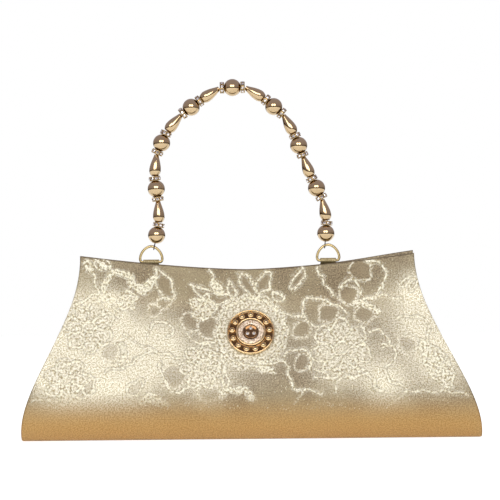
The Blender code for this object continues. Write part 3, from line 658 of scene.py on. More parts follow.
def leaf_threads(size, points):
    line = through(points)
    share = np.linspace(0, 1, len(line))[:, None]
    bulge = size * np.sin(np.pi * share**0.8) ** 0.8
    off = sideways(line)
    threads = [line + off * bulge, line - off * bulge]
    dark = size < 2.5 or 3.5 < size < 7
    if dark:
        return threads, [("leaf", line, bulge[:, 0], -1.0)]
    length = np.linalg.norm(np.diff(line, axis=0), axis=1).sum()
    for rib in np.arange(0.16, 0.8, 3.4 / length):
        start = int(rib * (len(line) - 1))
        end = min(start + int(1.2 * size / THREAD_STEP), len(line) - 1)
        for side in (-1, 1):
            tip = line[end] + side * off[end] * bulge[end] * 0.8
            threads.append(np.linspace(line[start], tip, 5))
    return threads, [("leaf", line, bulge[:, 0], 0.7)]


def disc_threads(size, points):
    return [], [("disc", points[0], size + 2.2, 0.6), ("disc", points[0], size * 0.94, -1.0)]


def flower_threads(size, points):
    middle = np.array(points[0], float)
    lobes = 5 if size < 12 else 7
    turn = 0.4 + size
    threads = [circle(middle, size * 1.05, 0.32, lobes, turn), circle(middle, size * 0.24, 0.1, 8)]
    for petal in range(lobes):
        t = turn + math.tau * (petal + 0.5) / lobes
        out = np.array([math.cos(t), math.sin(t)])
        threads.append(np.linspace(middle + out * size * 0.3, middle + out * size * 0.78, 9))
    return threads, [("disc", points[0], size * 0.86, 0.8), ("disc", points[0], size * 0.2, -0.4)]


def scallop_threads(size, points):
    line = through(points, 0.4)
    run = np.concatenate([[0], np.cumsum(np.linalg.norm(np.diff(line, axis=0), axis=1))])
    bump = size * 0.6 * np.abs(np.sin(np.pi * run / size))[:, None]
    off = sideways(line)
    return [line, line + off * (bump + 0.9)], [("leaf", line, 1.8 + 0 * run, 0.8)]


def rim_threads(size, points):
    middle = np.array(points[0], float)
    return [circle(middle, size, 0.04, 36)], [("ring", points[0], size - 2.0, 0.9)]


def dot_threads(size, points):
    line = through(points, 0.3)
    run = np.concatenate([[0], np.cumsum(np.linalg.norm(np.diff(line, axis=0), axis=1))])
    spots = np.arange(0.4, run[-1], size)
    middle = np.stack([np.interp(spots, run, line[:, 0]), np.interp(spots, run, line[:, 1])], axis=1)
    return [np.linspace(spot - (0.35, 0), spot + (0.35, 0.2), 3) for spot in middle], []


MAKERS = {
    "vine": vine_threads,
    "leaf": leaf_threads,
    "disc": disc_threads,
    "flower": flower_threads,
    "scallop": scallop_threads,
    "rim": rim_threads,
    "dots": dot_threads,
}
threads, patches = [], []
for kind, size, *points in MOTIFS:
    lines, insides = MAKERS[kind](size, points)
    threads += lines
    patches += insides
print(len(threads), "threads,", len(patches), "patches")

# %% [markdown]
# For each point of a cover the script measures how far the nearest thread is, and
# how much it lies inside a patch. The distances go onto the mesh as attributes.
# Because a distance changes evenly between points, the material can draw a crisp
# thread from it, and the same distance lifts the cloth into real relief.

# %% Distances to the threads
REACH = 3.0  # mm, the distance past which a thread no longer matters
WANDER = 0.8  # mm, how far hand-set looms let a line wander


def wandered(spots):
    """The spots shifted a little to and fro, so that no woven line is quite true."""
    x, z = spots[:, 0], spots[:, 1]
    shift = [np.sin(z * 0.55 + 1.3 * np.sin(x * 0.31)), np.sin(x * 0.47 + 1.1 * np.sin(z * 0.37))]
    return spots + WANDER * np.stack(shift, axis=1)


def thread_distance(spots):
    spots = wandered(spots)
    nearest = np.full(len(spots), REACH)
    for line in threads:
        low, high = line.min(0) - REACH, line.max(0) + REACH
        close = np.flatnonzero(((spots > low) & (spots < high)).all(1))
        if not len(close):
            continue
        start, step = line[:-1], np.diff(line, axis=0)
        away = spots[close][:, None] - start
        share = (away * step).sum(2) / ((step**2).sum(1) + 1e-9)
        gap = np.linalg.norm(away - np.clip(share, 0, 1)[..., None] * step, axis=2).min(1)
        nearest[close] = np.minimum(nearest[close], gap)
    return nearest


def patch_depth(spots):
    """From -1 in a smooth dark patch to 1 in a closely stitched one, 0 on the ground."""
    spots = wandered(spots)
    tone = np.zeros(len(spots))
    for kind, where, size, value in patches:
        if kind == "leaf":
            gaps = np.linalg.norm(spots[:, None] - where[::3], axis=2)
            inside = (size[::3][gaps.argmin(1)] - gaps.min(1)) / 0.8
        elif kind == "disc":
            inside = (size - np.linalg.norm(spots - np.array(where), axis=1)) / 2.2
        else:
            inside = (5.0 - np.abs(np.linalg.norm(spots - np.array(where), axis=1) - size)) / 2.0
        inside = np.clip(inside + 0.5, 0, 1)
        tone = tone * (1 - inside) + value * inside
    return tone


def veil_and_sheen_depth(spots):
    """How closely the loose pale floats lie, and how strongly painted sheen pales the cloth, from 0 to 1."""
    light = np.zeros(len(spots))
    for x, z, reach in VEILS_AND_SHEEN:
        light += np.exp(-((spots[:, 0] - x) ** 2 + (spots[:, 1] - z) ** 2) / reach**2)
    return np.clip(light, 0, 1)


print("reach", REACH, "mm")

# %% [markdown]
# ## The covers
#
# A cover is a stiff board wrapped in brocade. It starts as a flat grid, extruded
# once into a slab, and everything but its inner side is subdivided finely enough
# to carry the woven relief. Then the slab is wrapped onto the cover's curves.
# The last millimetre before each edge is rounded over, as cloth is over a board.

# %% Cover slab
COLUMNS, ROWS = 61, 27
CUTS = 6
PROUD = 0.2  # mm, height of a thread over the ground
TOE = 29.0  # mm, height below which the pattern fades out

bpy.ops.object.select_all(action="DESELECT")
bpy.ops.mesh.primitive_grid_add(x_subdivisions=COLUMNS, y_subdivisions=ROWS, size=2)
slab = bpy.context.object
bpy.ops.object.mode_set(mode="EDIT")
bpy.ops.mesh.select_all(action="SELECT")
bpy.ops.mesh.extrude_region_move(TRANSFORM_OT_translate={"value": (0, 0, -1)})
bpy.ops.mesh.select_all(action="SELECT")
bpy.ops.mesh.normals_make_consistent(inside=False)
choose("faces", lambda face: face.calc_center_median().z > -0.99)
bpy.ops.mesh.subdivide(number_cuts=CUTS)
bpy.ops.object.mode_set(mode="OBJECT")
print("slab", len(slab.data.polygons), "faces")

# %% Wrap the slab onto a cover
BOARD_ROUND = 1.0 * MM


def coords(mesh):
    flat = np.empty(len(mesh.vertices) * 3, np.float64)
    mesh.vertices.foreach_get("co", flat)
    return flat.reshape(-1, 3)


def set_coords(mesh, points):
    mesh.vertices.foreach_set("co", np.ascontiguousarray(points, np.float64).ravel())
    mesh.update()


def set_attribute(mesh, name, values):
    layer = mesh.attributes.new(name, "FLOAT", "POINT")
    layer.data.foreach_set("value", np.ascontiguousarray(values, np.float32))


def relief(near, tone, x, z):
    """Height of the cloth over the board's curve, in mm."""
    cord = PROUD * np.exp(-((near / 0.5) ** 2))
    groove = -0.12 * np.exp(-(((near - 1.1) / 0.4) ** 2))
    pad = 0.15 * np.maximum(tone, 0)
    fade = smooth_step((z - TOE + 6) / 12)
    crinkle = 0.035 * (np.sin(x * 2.1 + 0.7 * np.sin(z * 1.3)) + np.sin(z * 2.6 + np.sin(x * 0.9)))
    return (cord + groove + pad) * fade + crinkle


def wrapped_cover(name, side):
    made = copied(slab, name, Matrix.Identity(4))
    flat = coords(made.data)
    depth = np.clip(-flat[:, 2], 0, 1) * COVER_THICK
    across = flat[:, 0]
    level = np.interp((flat[:, 1] + 1) / 2, PROFILE_SHARES, LEVELS)
    side_gap = (1 - np.abs(across)) * half_width(level)
    end_gap = np.minimum(1 - level, level) * HEIGHT
    edge_gap = np.minimum(side_gap, end_gap)
    rounded = np.clip(BOARD_ROUND - edge_gap, 0, BOARD_ROUND)
    sink = BOARD_ROUND - np.sqrt(BOARD_ROUND**2 - rounded**2)
    on_face = flat[:, 2] > -1e-6
    on_wall = (edge_gap < 1e-7) & ~on_face
    off_middle = np.abs(depth - COVER_THICK / 2) - (COVER_THICK / 2 - BOARD_ROUND)
    off_middle = np.clip(off_middle, 0, BOARD_ROUND)
    inset = np.where(on_wall | (on_face & (edge_gap < 1e-7)), BOARD_ROUND - np.sqrt(BOARD_ROUND**2 - off_middle**2), 0)
    depth = np.where(on_face & (edge_gap >= 1e-7), sink, depth)
    depth = np.where(on_face & (edge_gap < 1e-7), sink * 0.72, depth)
    across = across * (1 - inset / half_width(level))
    level = np.clip(level, inset / HEIGHT, 1 - inset / HEIGHT)
    skin = cover_skin(side, across, level)
    normal = cover_normal(side, across, level)
    x, z = skin[:, 0] / MM * -side, skin[:, 2] / MM
    spots = np.stack([x, z], axis=1)
    near, tone = np.full(len(x), REACH), np.zeros(len(x))
    shown = flat[:, 2] > -0.99
    near[shown] = thread_distance(spots[shown])
    tone[shown] = patch_depth(spots[shown])
    lift = relief(near, tone, x, z) * MM * np.clip(edge_gap / (1.5 * MM), 0, 1) * on_face
    set_coords(made.data, skin + normal * (lift - depth)[:, None])
    set_attribute(made.data, "thread", near)
    set_attribute(made.data, "patch", tone)
    # Painted sheen: this attribute also pales broad areas of the cloth, besides marking where loose floats lie.
    set_attribute(made.data, "veil_and_sheen", veil_and_sheen_depth(spots))
    # Painted shade: the last 0.9 mm below the mouth is darkened where the cloth turns over the board.
    fold = np.clip(1 - (1 - level) * HEIGHT / (0.9 * MM), 0, 1)
    set_attribute(made.data, "fold", fold)
    cloth = made.data.uv_layers.new(name="cloth")
    corner = np.empty(len(made.data.loops), np.int32)
    made.data.loops.foreach_get("vertex_index", corner)
    run = np.interp(level, LEVELS, PROFILE_SHARES) * PROFILE_LENGTH
    place = np.stack([skin[:, 0], run + depth], axis=1)[corner]
    cloth.data.foreach_set("uv", place.astype(np.float32).ravel())
    made.data.uv_layers.active = cloth
    return close_up(made, 40, 0.001 * MM)


front_cloth = wrapped_cover("front_brocade", -1)
back_cloth = wrapped_cover("back_brocade", 1)
bpy.data.objects.remove(slab)
for piece in (front_cloth, back_cloth):
    points = coords(piece.data) / MM
    print(piece.name, len(piece.data.polygons), "faces,", points.min(0).round(1), points.max(0).round(1))

# %% [markdown]
# ## Woven floats
#
# What sparkles on the cloth are its floats: short runs of flat gold foil, about a
# millimetre long, that lie slantwise along each thread and close together inside
# the flowers. One float is a four-sided cone pressed flat, modelled once. Its
# copies are laid on the cover and joined into one mesh, six triangles each.

# %% Floats on the covers
FLOAT_LENGTH, FLOAT_WIDTH, FLOAT_HEIGHT = 1.6, 0.55, 0.45  # mm
FLOAT_PITCH = 1.15  # mm between floats along a thread
FILL_PITCH = 1.35  # mm between floats that fill a patch
SLANT = 0.6  # radians between a float and its thread
UPRIGHT = 1.25  # radians from level at which the filling floats lie, give or take

bpy.ops.object.select_all(action="DESELECT")
bpy.ops.mesh.primitive_cone_add(vertices=4, radius1=0.5, depth=1, location=(0, 0, 0))
one_float = bpy.context.object
bpy.ops.object.mode_set(mode="EDIT")
bpy.ops.mesh.select_all(action="SELECT")
bpy.ops.transform.resize(value=(FLOAT_LENGTH * MM, FLOAT_WIDTH * MM, FLOAT_HEIGHT * MM))
bpy.ops.object.mode_set(mode="OBJECT")
float_points = coords(one_float.data)
float_faces = [tuple(face.vertices) for face in one_float.data.polygons]
bpy.data.objects.remove(one_float)


def float_layout(chance):
    """Where the floats lie: their spots and angles, along threads and inside patches."""
    spots, angles = [], []
    for line in threads:
        steps = np.linalg.norm(np.diff(line, axis=0), axis=1)
        run = np.concatenate([[0], np.cumsum(steps)])
        at = np.arange(0.3, run[-1], FLOAT_PITCH)
        spot = np.stack([np.interp(at, run, line[:, 0]), np.interp(at, run, line[:, 1])], axis=1)
        ahead = np.stack([np.interp(at + 0.3, run, line[:, 0]), np.interp(at + 0.3, run, line[:, 1])], axis=1)
        course = np.arctan2(*(ahead - spot + 1e-6).T[::-1])
        spot = 2 * spot - wandered(spot)
        spots.append(spot + chance.normal(0, 0.25, spot.shape))
        angles.append(course + SLANT * (1 - 2 * (np.arange(len(at)) % 2)))
    width, height = BASE_WIDTH / MM, HEIGHT / MM
    grid_x, grid_z = np.meshgrid(
        np.arange(-width / 2, width / 2, FILL_PITCH), np.arange(TOE - 8, height, FILL_PITCH)
    )
    fill = np.stack([grid_x.ravel(), grid_z.ravel()], axis=1)
    fill += chance.uniform(-0.5, 0.5, fill.shape) * FILL_PITCH
    tone, near = patch_depth(fill), thread_distance(fill)
    loose = 0.06 + 0.3 * veil_and_sheen_depth(fill)
    likely = np.where(tone > 0.3, 0.85, np.where(near < 2.6, 0.2 + loose, loose)) * (tone > -0.3)
    likely *= smooth_step((fill[:, 1] - TOE + 10) / 12)
    fill = fill[chance.uniform(0, 1, len(fill)) < likely]
    spots.append(fill)
    swirl = np.sin(fill[:, 0] * 0.12 + 1.5 * np.sin(fill[:, 1] * 0.09))
    angles.append(UPRIGHT + 0.55 * swirl + chance.normal(0, 0.16, len(fill)))
    return np.concatenate(spots), np.concatenate(angles)


def laid_floats(name, side, seed):
    chance = np.random.default_rng(seed)
    spots, angles = float_layout(chance)
    across, level = cover_place(side, spots[:, 0] * MM * -side, spots[:, 1] * MM)
    fits = (np.abs(across) < 0.992) & (level < 0.985) & (level > 0.12)
    spots, angles, across, level = spots[fits], angles[fits], across[fits], level[fits]
    skin, normal = cover_skin(side, across, level), cover_normal(side, across, level)
    normal = normal + chance.normal(0, 0.16, normal.shape)
    normal /= np.linalg.norm(normal, axis=1, keepdims=True)
    lift = relief(thread_distance(spots), patch_depth(spots), spots[:, 0], spots[:, 1])
    right = np.array([-side, 0.0, 0.0]) - normal * (normal[:, :1] * -side)
    right /= np.linalg.norm(right, axis=1, keepdims=True)
    up = np.cross(normal, right)
    along = np.cos(angles)[:, None] * right + np.sin(angles)[:, None] * up
    over = np.cross(normal, along)
    middle = skin + normal * ((lift + FLOAT_HEIGHT * 0.3) * MM)[:, None]
    size = chance.uniform(0.7, 1.15, len(spots))[:, None, None]
    frame_axes = np.stack([along, over, normal], axis=1)
    points = middle[:, None] + size * np.einsum("vk,nkc->nvc", float_points, frame_axes)
    count = len(float_points)
    faces = [
        tuple(index + number * count for index in face)
        for number in range(len(spots))
        for face in float_faces
    ]
    mesh = bpy.data.meshes.new(name)
    mesh.from_pydata(points.reshape(-1, 3).tolist(), [], faces)
    # Painted light and shade: each float gets a random tone, dark as if shaded and near white as if lit.
    set_attribute(mesh, "shade", np.repeat(chance.uniform(0, 1, len(spots)), count))
    made = bpy.data.objects.new(name, mesh)
    bpy.context.scene.collection.objects.link(made)
    print(name, len(spots), "floats")
    return made


front_floats = laid_floats("front_floats", -1, 11)
back_floats = laid_floats("back_floats", 1, 12)
# %% [markdown]
# ## Gold brocade
#
# Metallic brocade is woven from flat champagne-gold foil threads on a matt silk
# ground. The foil gives a soft metal gleam that breaks into sparkling grains,
# because every float tilts a little differently. Along the raised threads the
# cloth is painted ivory in grains as a painted highlight, and beside them runs a
# brown line of painted shadow. Real threads lie 0.25 mm apart, too fine to see
# here, so the grain is drawn at 1 mm.
#
# The material is built from the bottom up, like the cloth: two close tones that a
# fine noise mixes, then one layer after another. Each layer reads one measure,
# such as the distance to the nearest thread, and says where it starts, where it
# is full and how strong it gets.

# %% Brocade readings
gold_brocade, tree = new_material("gold_brocade")
readings = {
    name: node(tree, "ShaderNodeAttribute", attribute_name=name).outputs["Fac"]
    for name in ("thread", "patch", "veil_and_sheen", "fold")
}
place = node(tree, "ShaderNodeUVMap", uv_map="cloth").outputs[0]
metres = node(tree, "ShaderNodeTexCoord").outputs["Object"]
# The large noise in object space draws blotches of painted sheen.
for name, source, scale in (("grain", place, 1050.0), ("flick", place, 620.0), ("cloud", metres, 30.0)):
    noise = node(tree, "ShaderNodeTexNoise", {"Vector": source, "Scale": scale, "Detail": 2.0})
    readings[name] = noise.outputs[0]
readings["height"] = node(tree, "ShaderNodeSeparateXYZ", {0: metres}).outputs["Z"]
print("the brocade reads", ", ".join(readings))

# %% Brocade tones and masks
tones = {}
for name, reading, start, full, dark, light in (
    ("ground", "grain", 0.4, 0.6, "#6a5942", "#9b8b6c"),
    ("loose", "grain", 0.4, 0.58, "#c5b891", "#fffbeb"),
    ("speckled", "flick", 0.38, 0.6, "#a59670", "#fffbec"),
    # The toe's gold is partly the gold weft where the cloth turns under and partly a painted darker, warmer
    # reflection.
    ("gold", "grain", 0.36, 0.66, "#ba8e4b", "#d6ae6c"),
):
    share = node(
        tree,
        "ShaderNodeMapRange",
        {0: readings[reading], "From Min": start, "From Max": full},
        interpolation_type="SMOOTHSTEP",
    )
    mix = node(
        tree,
        "ShaderNodeMix",
        {0: share.outputs[0], 6: colour(dark), 7: colour(light)},
        data_type="RGBA",
    )
    tones[name] = mix.outputs[2]

TOE_TOP = 0.036
masks = {"all over": None}
above = None
for name, reading, start, full, least, most in (
    ("above the toe", "height", 0.022, TOE_TOP, 0.0, 1.0),
    # Where the painted shadow beside a thread falls.
    ("beside a thread", "thread", 1.6, 1.15, 0.0, 1.0),
    # Where the painted highlight on a thread shows, in random grains.
    ("on bright grains", "flick", 0.42, 0.54, 0.1, 0.9),
):
    share = node(
        tree,
        "ShaderNodeMapRange",
        {0: readings[reading], "From Min": start, "From Max": full, "To Min": least, "To Max": most},
        interpolation_type="SMOOTHSTEP",
    )
    mask = share.outputs[0]
    if above:
        mask = node(tree, "ShaderNodeMath", {0: mask, 1: above}, operation="MULTIPLY").outputs[0]
    else:
        above = mask
    masks[name] = mask
print(len(tones), "tones and", len(masks), "masks")

# %% Brocade layers
layers = (
    # Painted sheen: large soft blotches of paler colour stand in for the gleam of gently wavy cloth.
    ("cloud", 0.4, 0.66, 0.4, "SMOOTHSTEP", "all over", "#b9ac8a"),
    # Loose pale floats, and painted sheen that pales broad areas of the cloth.
    ("veil_and_sheen", 0.0, 1.0, 0.98, "LINEAR", "all over", "loose"),
    ("patch", -0.15, -0.8, 0.36, "SMOOTHSTEP", "all over", "#8a795c"),
    ("patch", 0.05, 0.6, 0.75, "SMOOTHSTEP", "above the toe", "speckled"),
    ("thread", 2.6, 0.8, 0.55, "SMOOTHSTEP", "above the toe", "speckled"),
    # Painted shadow: a brown line beside each raised thread.
    ("thread", 0.7, 0.95, 0.4, "SMOOTHSTEP", "beside a thread", "#7d6b46"),
    # Painted highlight: ivory along the raised threads, in random grains.
    ("thread", 0.85, 0.45, 1.0, "SMOOTHSTEP", "on bright grains", "#fffbe8"),
    # Painted reflection: towards the base the cloth turns deeper gold, partly the weft showing where it turns under.
    ("height", TOE_TOP, 0.008, 0.95, "SMOOTHSTEP", "all over", "gold"),
    # Painted shade along the fold at the mouth.
    ("fold", 0.0, 1.0, 0.7, "LINEAR", "all over", "#7d6b55"),
)
cloth = tones["ground"]
for reading, start, full, most, kind, where, tone in layers:
    share = node(
        tree,
        "ShaderNodeMapRange",
        {0: readings[reading], "From Min": start, "From Max": full, "To Max": most},
        interpolation_type=kind,
    ).outputs[0]
    if masks[where]:
        share = node(tree, "ShaderNodeMath", {0: share, 1: masks[where]}, operation="MULTIPLY").outputs[0]
    top = tones.get(tone) or colour(tone)
    cloth = node(tree, "ShaderNodeMix", {0: share, 6: cloth, 7: top}, data_type="RGBA").outputs[2]
print(len(layers), "layers of colour")

# %% Brocade surface
weaves = []
for direction in "YX":
    wave = node(
        tree,
        "ShaderNodeTexWave",
        {"Vector": place, "Scale": 300.0, "Distortion": 1.2, "Detail": 1.0},
        bands_direction=direction,
    )
    weaves.append(wave.outputs["Fac"])
canvas = node(tree, "ShaderNodeMath", dict(enumerate(weaves)), operation="MULTIPLY")
bump = None
for height, strength, depth in ((canvas.outputs[0], 0.35, 0.0003), (readings["grain"], 0.6, 0.0004)):
    under = {"Normal": bump.outputs[0]} if bump else {}
    bump = node(tree, "ShaderNodeBump", {"Height": height, "Strength": strength, "Distance": depth, **under})
rough = node(
    tree,
    "ShaderNodeMapRange",
    {0: readings["grain"], "From Min": 0.3, "From Max": 0.7, "To Min": 0.5, "To Max": 0.34},
    interpolation_type="SMOOTHSTEP",
)
shader = node(
    tree,
    "ShaderNodeBsdfPrincipled",
    {
        "Base Color": cloth,
        "Metallic": 0.25,
        "Roughness": rough.outputs[0],
        "Normal": bump.outputs[0],
    },
)
node(tree, "ShaderNodeOutputMaterial", {"Surface": shader.outputs[0]})
finished(front_cloth, "front", gold_brocade, "gold_brocade", "front_cover")
finished(back_cloth, "bag", gold_brocade, "gold_brocade", "back_cover")
print(len(tree.nodes), "nodes of brocade")

# %% Foil float material
foil, tree = new_material("foil_float")
# The random tone is painted light and shade: darker floats look shaded, paler ones lit.
shade = node(tree, "ShaderNodeAttribute", attribute_name="shade").outputs["Fac"]
tint = node(tree, "ShaderNodeValToRGB", {0: shade})
tint.color_ramp.elements.new(0.3)
for element, (spot, code) in zip(
    tint.color_ramp.elements, ((0.0, "#a08e64"), (0.3, "#e8deba"), (0.75, "#fffceb"))
):
    element.position = spot
    element.color = colour(code)
shader = node(
    tree,
    "ShaderNodeBsdfPrincipled",
    {"Base Color": tint.outputs[0], "Metallic": 0.3, "Roughness": 0.32},
)
node(tree, "ShaderNodeOutputMaterial", {"Surface": shader.outputs[0]})
finished(front_floats, "front", foil, "gold_brocade")
finished(back_floats, "bag", foil, "gold_brocade")
print("floats have", len(tree.nodes), "nodes")

# %% [markdown]
# ## Gold-plated beads
#
# The beads are moulded plastic with a vacuum-plated gold skin under lacquer. That
# gives a mirror, a little brown, with the faint waviness of a moulded surface. A
# metallic shader with low roughness does it, and a very shallow bump bends the
# reflections as the real skin does.

# %% Plated metal materials


def plated(name, low, high, rough, wave, grain_mm=1.6, lacquer=0.35):
    """A polished plated skin: two close tones, a slight haze and a faint waviness."""
    made, tree = new_material(name)
    place = node(tree, "ShaderNodeTexCoord").outputs["Object"]
    haze = node(
        tree, "ShaderNodeTexNoise", {"Vector": place, "Scale": 1 / (grain_mm * 4 * MM), "Detail": 3.0}
    )
    tone = node(tree, "ShaderNodeMix", {0: haze.outputs[0]}, data_type="RGBA")
    tone.inputs[6].default_value = colour(low)
    tone.inputs[7].default_value = colour(high)
    gloss = node(
        tree,
        "ShaderNodeMapRange",
        {0: haze.outputs[0], "To Min": rough * 0.7, "To Max": rough * 1.4},
    )
    skin = node(tree, "ShaderNodeTexNoise", {"Vector": place, "Scale": 1 / (grain_mm * MM)})
    bump = node(
        tree, "ShaderNodeBump", {"Height": skin.outputs[0], "Strength": wave, "Distance": 0.0001}
    )
    shader = node(
        tree,
        "ShaderNodeBsdfPrincipled",
        {
            "Base Color": tone.outputs[2],
            "Metallic": 1.0,
            "Roughness": gloss.outputs[0],
            "Normal": bump.outputs[0],
            "Coat Weight": lacquer,
            "Coat Roughness": 0.04,
        },
    )
    node(tree, "ShaderNodeOutputMaterial", {"Surface": shader.outputs[0]})
    return made


bead_gold = plated("gold_plated_beads", "#b69d78", "#c4ad88", 0.07, 0.25)
ring_gold = plated("pale_gold_wire", "#bba777", "#cdba8b", 0.36, 0.05, lacquer=0.0)
boss_gold = plated("dark_polished_boss", "#6b4a2e", "#80603c", 0.08, 0.3, 0.9)
rondelle_gold = plated("stamped_brass_rondelle", "#a98e5f", "#cbb283", 0.22, 0.4, 0.6)
print("four plated finishes")

# %% [markdown]
# ## The ball beads
#
# Nine round beads, 12 mm across. One is turned on the lathe with a fine arc, and
# copied to each place. The mouth of the bore is rounded in, as a moulded bead's is.
# Each copy points along the string, which runs through the rondelles beside it.

# %% Places along the string


def solid_points(name):
    """The solid's separate corners, in metres."""
    rounded = np.round(coords(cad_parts[name].data) / MM, 3)
    return np.unique(rounded, axis=0) * MM


def solid_middle(name):
    low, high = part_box(name)
    return (Vector(low) + Vector(high)) / 2


def solid_axis(name):
    """The turning axis of a solid: the direction whose spread differs from the other two."""
    points = solid_points(name)
    spread, axes = np.linalg.eigh(np.cov((points - points.mean(0)).T))
    return Vector(axes[:, 2 if spread[2] - spread[1] > spread[1] - spread[0] else 0])


BALLS = 9
TAPERS = 8
RONDELLES = 16
LOOP_OFFSET = 2.2 * MM
RING_RISE = 11.0 * MM
loops = []
for side, name in ((1, "d_ring_left"), (-1, "d_ring_right")):
    low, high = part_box(name)
    loops.append(Vector(((low[0] + high[0]) / 2 + side * LOOP_OFFSET, 0, 0)))
RING_WIRE_RADIUS = 0.9 * MM
RING_HALF_WIDTH = 7.75 * MM
RING_SHOULDER = 2.2 * MM
RING_CORNER = 1.6 * MM
RING_SHAPE = 1.8
BAR_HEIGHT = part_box("d_ring_left")[0][2] + RING_WIRE_RADIUS


def arch_height(offset):
    reach = (abs(offset) / RING_HALF_WIDTH) ** RING_SHAPE
    return RING_SHOULDER + (RING_RISE - RING_SHOULDER) * (1 - reach) ** (1 / RING_SHAPE)


for loop in loops:
    loop.z = BAR_HEIGHT + arch_height(LOOP_OFFSET)
ball_axes = []
for index in range(1, BALLS + 1):
    before = solid_middle(f"rondelle_{2 * index - 2}") if index > 1 else loops[0]
    after = solid_middle(f"rondelle_{2 * index - 1}") if index < BALLS else loops[1]
    ball_axes.append((after - before).normalized())
print("loops at", [tuple(round(v / MM, 2) for v in loop) for loop in loops])

# %% Ball beads
BALL_RADIUS = (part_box("ball_bead_5")[1][1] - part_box("ball_bead_5")[0][1]) / 2
BORE_RADIUS = 0.9 * MM
END_BORE_RADIUS = 1.2 * MM


def ball(name, bore):
    """A ball with a bore, the mouth of the bore rounded."""
    tip = math.degrees(math.asin((bore + 0.15 * MM) / BALL_RADIUS))
    outside = arc((0, 0), BALL_RADIUS, 90 - tip, tip - 90, 44)
    mouth = outside[0][1] - 0.2 * MM
    profile = [(bore, mouth), *outside, (bore, -mouth), (bore, mouth)]
    return turned(name, profile, 56)


ball_model = ball("ball_model", BORE_RADIUS)
end_ball_model = ball("end_ball_model", END_BORE_RADIUS)
for index in range(1, BALLS + 1):
    model = end_ball_model if index in (1, BALLS) else ball_model
    place = facing_place(solid_middle(f"ball_bead_{index}"), ball_axes[index - 1])
    made = copied(model, f"ball_{index}", place)
    finished(made, "handle", bead_gold, "bead_gold", f"ball_bead_{index}")
bpy.data.objects.remove(ball_model)
bpy.data.objects.remove(end_ball_model)
print(BALLS, "balls,", len(made.data.polygons), "faces each")

# %% [markdown]
# ## The tapered beads
#
# The long beads are drops: narrow at one end, fattest three quarters of the way
# down, then drawn in quickly. The fat ends all point down to the bag. Their
# length and their radius along it follow the solid.

# %% Tapered beads
TAPER_LENGTH = 15.0 * MM
TAPER_NARROW = 1.5 * MM
TAPER_FAT = 4.05 * MM
TAPER_FAT_END = 2.1 * MM
TAPER_FAT_PLACE = 0.75


def taper_radius(share):
    """Radius at a share of the length from the narrow end."""
    if share < TAPER_FAT_PLACE:
        swell = math.sin(math.pi / 2 * share / TAPER_FAT_PLACE) ** 1.2
        return TAPER_NARROW + (TAPER_FAT - TAPER_NARROW) * swell
    fall = (share - TAPER_FAT_PLACE) / (1 - TAPER_FAT_PLACE)
    return TAPER_FAT_END + (TAPER_FAT - TAPER_FAT_END) * (1 - fall**1.5) ** (1 / 1.5)


shares = [*np.linspace(0, 0.9, 28), 0.93, 0.955, 0.975, 0.99, 1.0]
half = TAPER_LENGTH / 2
profile = [(BORE_RADIUS, half)]
profile += [(taper_radius(share), half - TAPER_LENGTH * share) for share in shares]
profile += [(BORE_RADIUS, -half), (BORE_RADIUS, half)]
taper_model = turned("taper_model", profile, 48)
for index in range(1, TAPERS + 1):
    name = f"tapered_bead_{index}"
    axis = solid_axis(name)
    if axis.z < 0:
        axis = -axis
    points = solid_points(name)
    run = points @ np.array(axis)
    radial = points - np.outer(run, axis)
    middle = Vector(radial.mean(0)) + axis * float((run.min() + run.max()) / 2)
    made = copied(taper_model, f"taper_{index}", facing_place(middle, axis))
    finished(made, "handle", bead_gold, "bead_gold", name)
bpy.data.objects.remove(taper_model)
print(TAPERS, "tapered beads,", len(made.data.polygons), "faces each")

# %% [markdown]
# ## The rondelles
#
# A rondelle is a stamped brass ring with two thin rims. Eight small cut stones
# sit in the groove between them, held by little claws. The ring is turned, the
# claws are small balls pressed over the rims, and a stone is an eight-sided
# turning with flat facets. One rondelle is made and copied sixteen times.

# %% Rondelle model
RONDELLE_RADIUS = 4.1 * MM
STONES_AROUND = 8
half = [
    (0.9, 1.0), (2.95, 1.0), (3.05, 1.1), (3.1, 1.42), (3.25, 1.5), (3.85, 1.5),
    (4.02, 1.42), (4.08, 1.25), (4.0, 1.1), (3.7, 1.02), (3.2, 0.98), (3.1, 0.85),
]
profile = [(r * MM, z * MM) for r, z in half]
profile += [(r, -z) for r, z in reversed(profile)]
rondelle_model = turned("rondelle_model", [*profile, profile[0]], 48)

bpy.ops.object.select_all(action="DESELECT")
bpy.ops.mesh.primitive_uv_sphere_add(segments=8, ring_count=6, radius=0.36 * MM)
claw_model = bpy.context.object
claws = []
for index in range(STONES_AROUND):
    turn = Matrix.Rotation(math.tau * (index + 0.5) / STONES_AROUND, 4, "Z")
    for height in (-0.78, 0.78):
        spot = turn @ Matrix.Translation((3.72 * MM, 0, height * MM))
        claws.append(copied(claw_model, "claw", spot))
bpy.data.objects.remove(claw_model)
bpy.ops.object.select_all(action="DESELECT")
for claw in claws:
    claw.select_set(True)
rondelle_model.select_set(True)
bpy.context.view_layer.objects.active = rondelle_model
bpy.ops.object.join()
print("rondelle", len(rondelle_model.data.polygons), "faces")

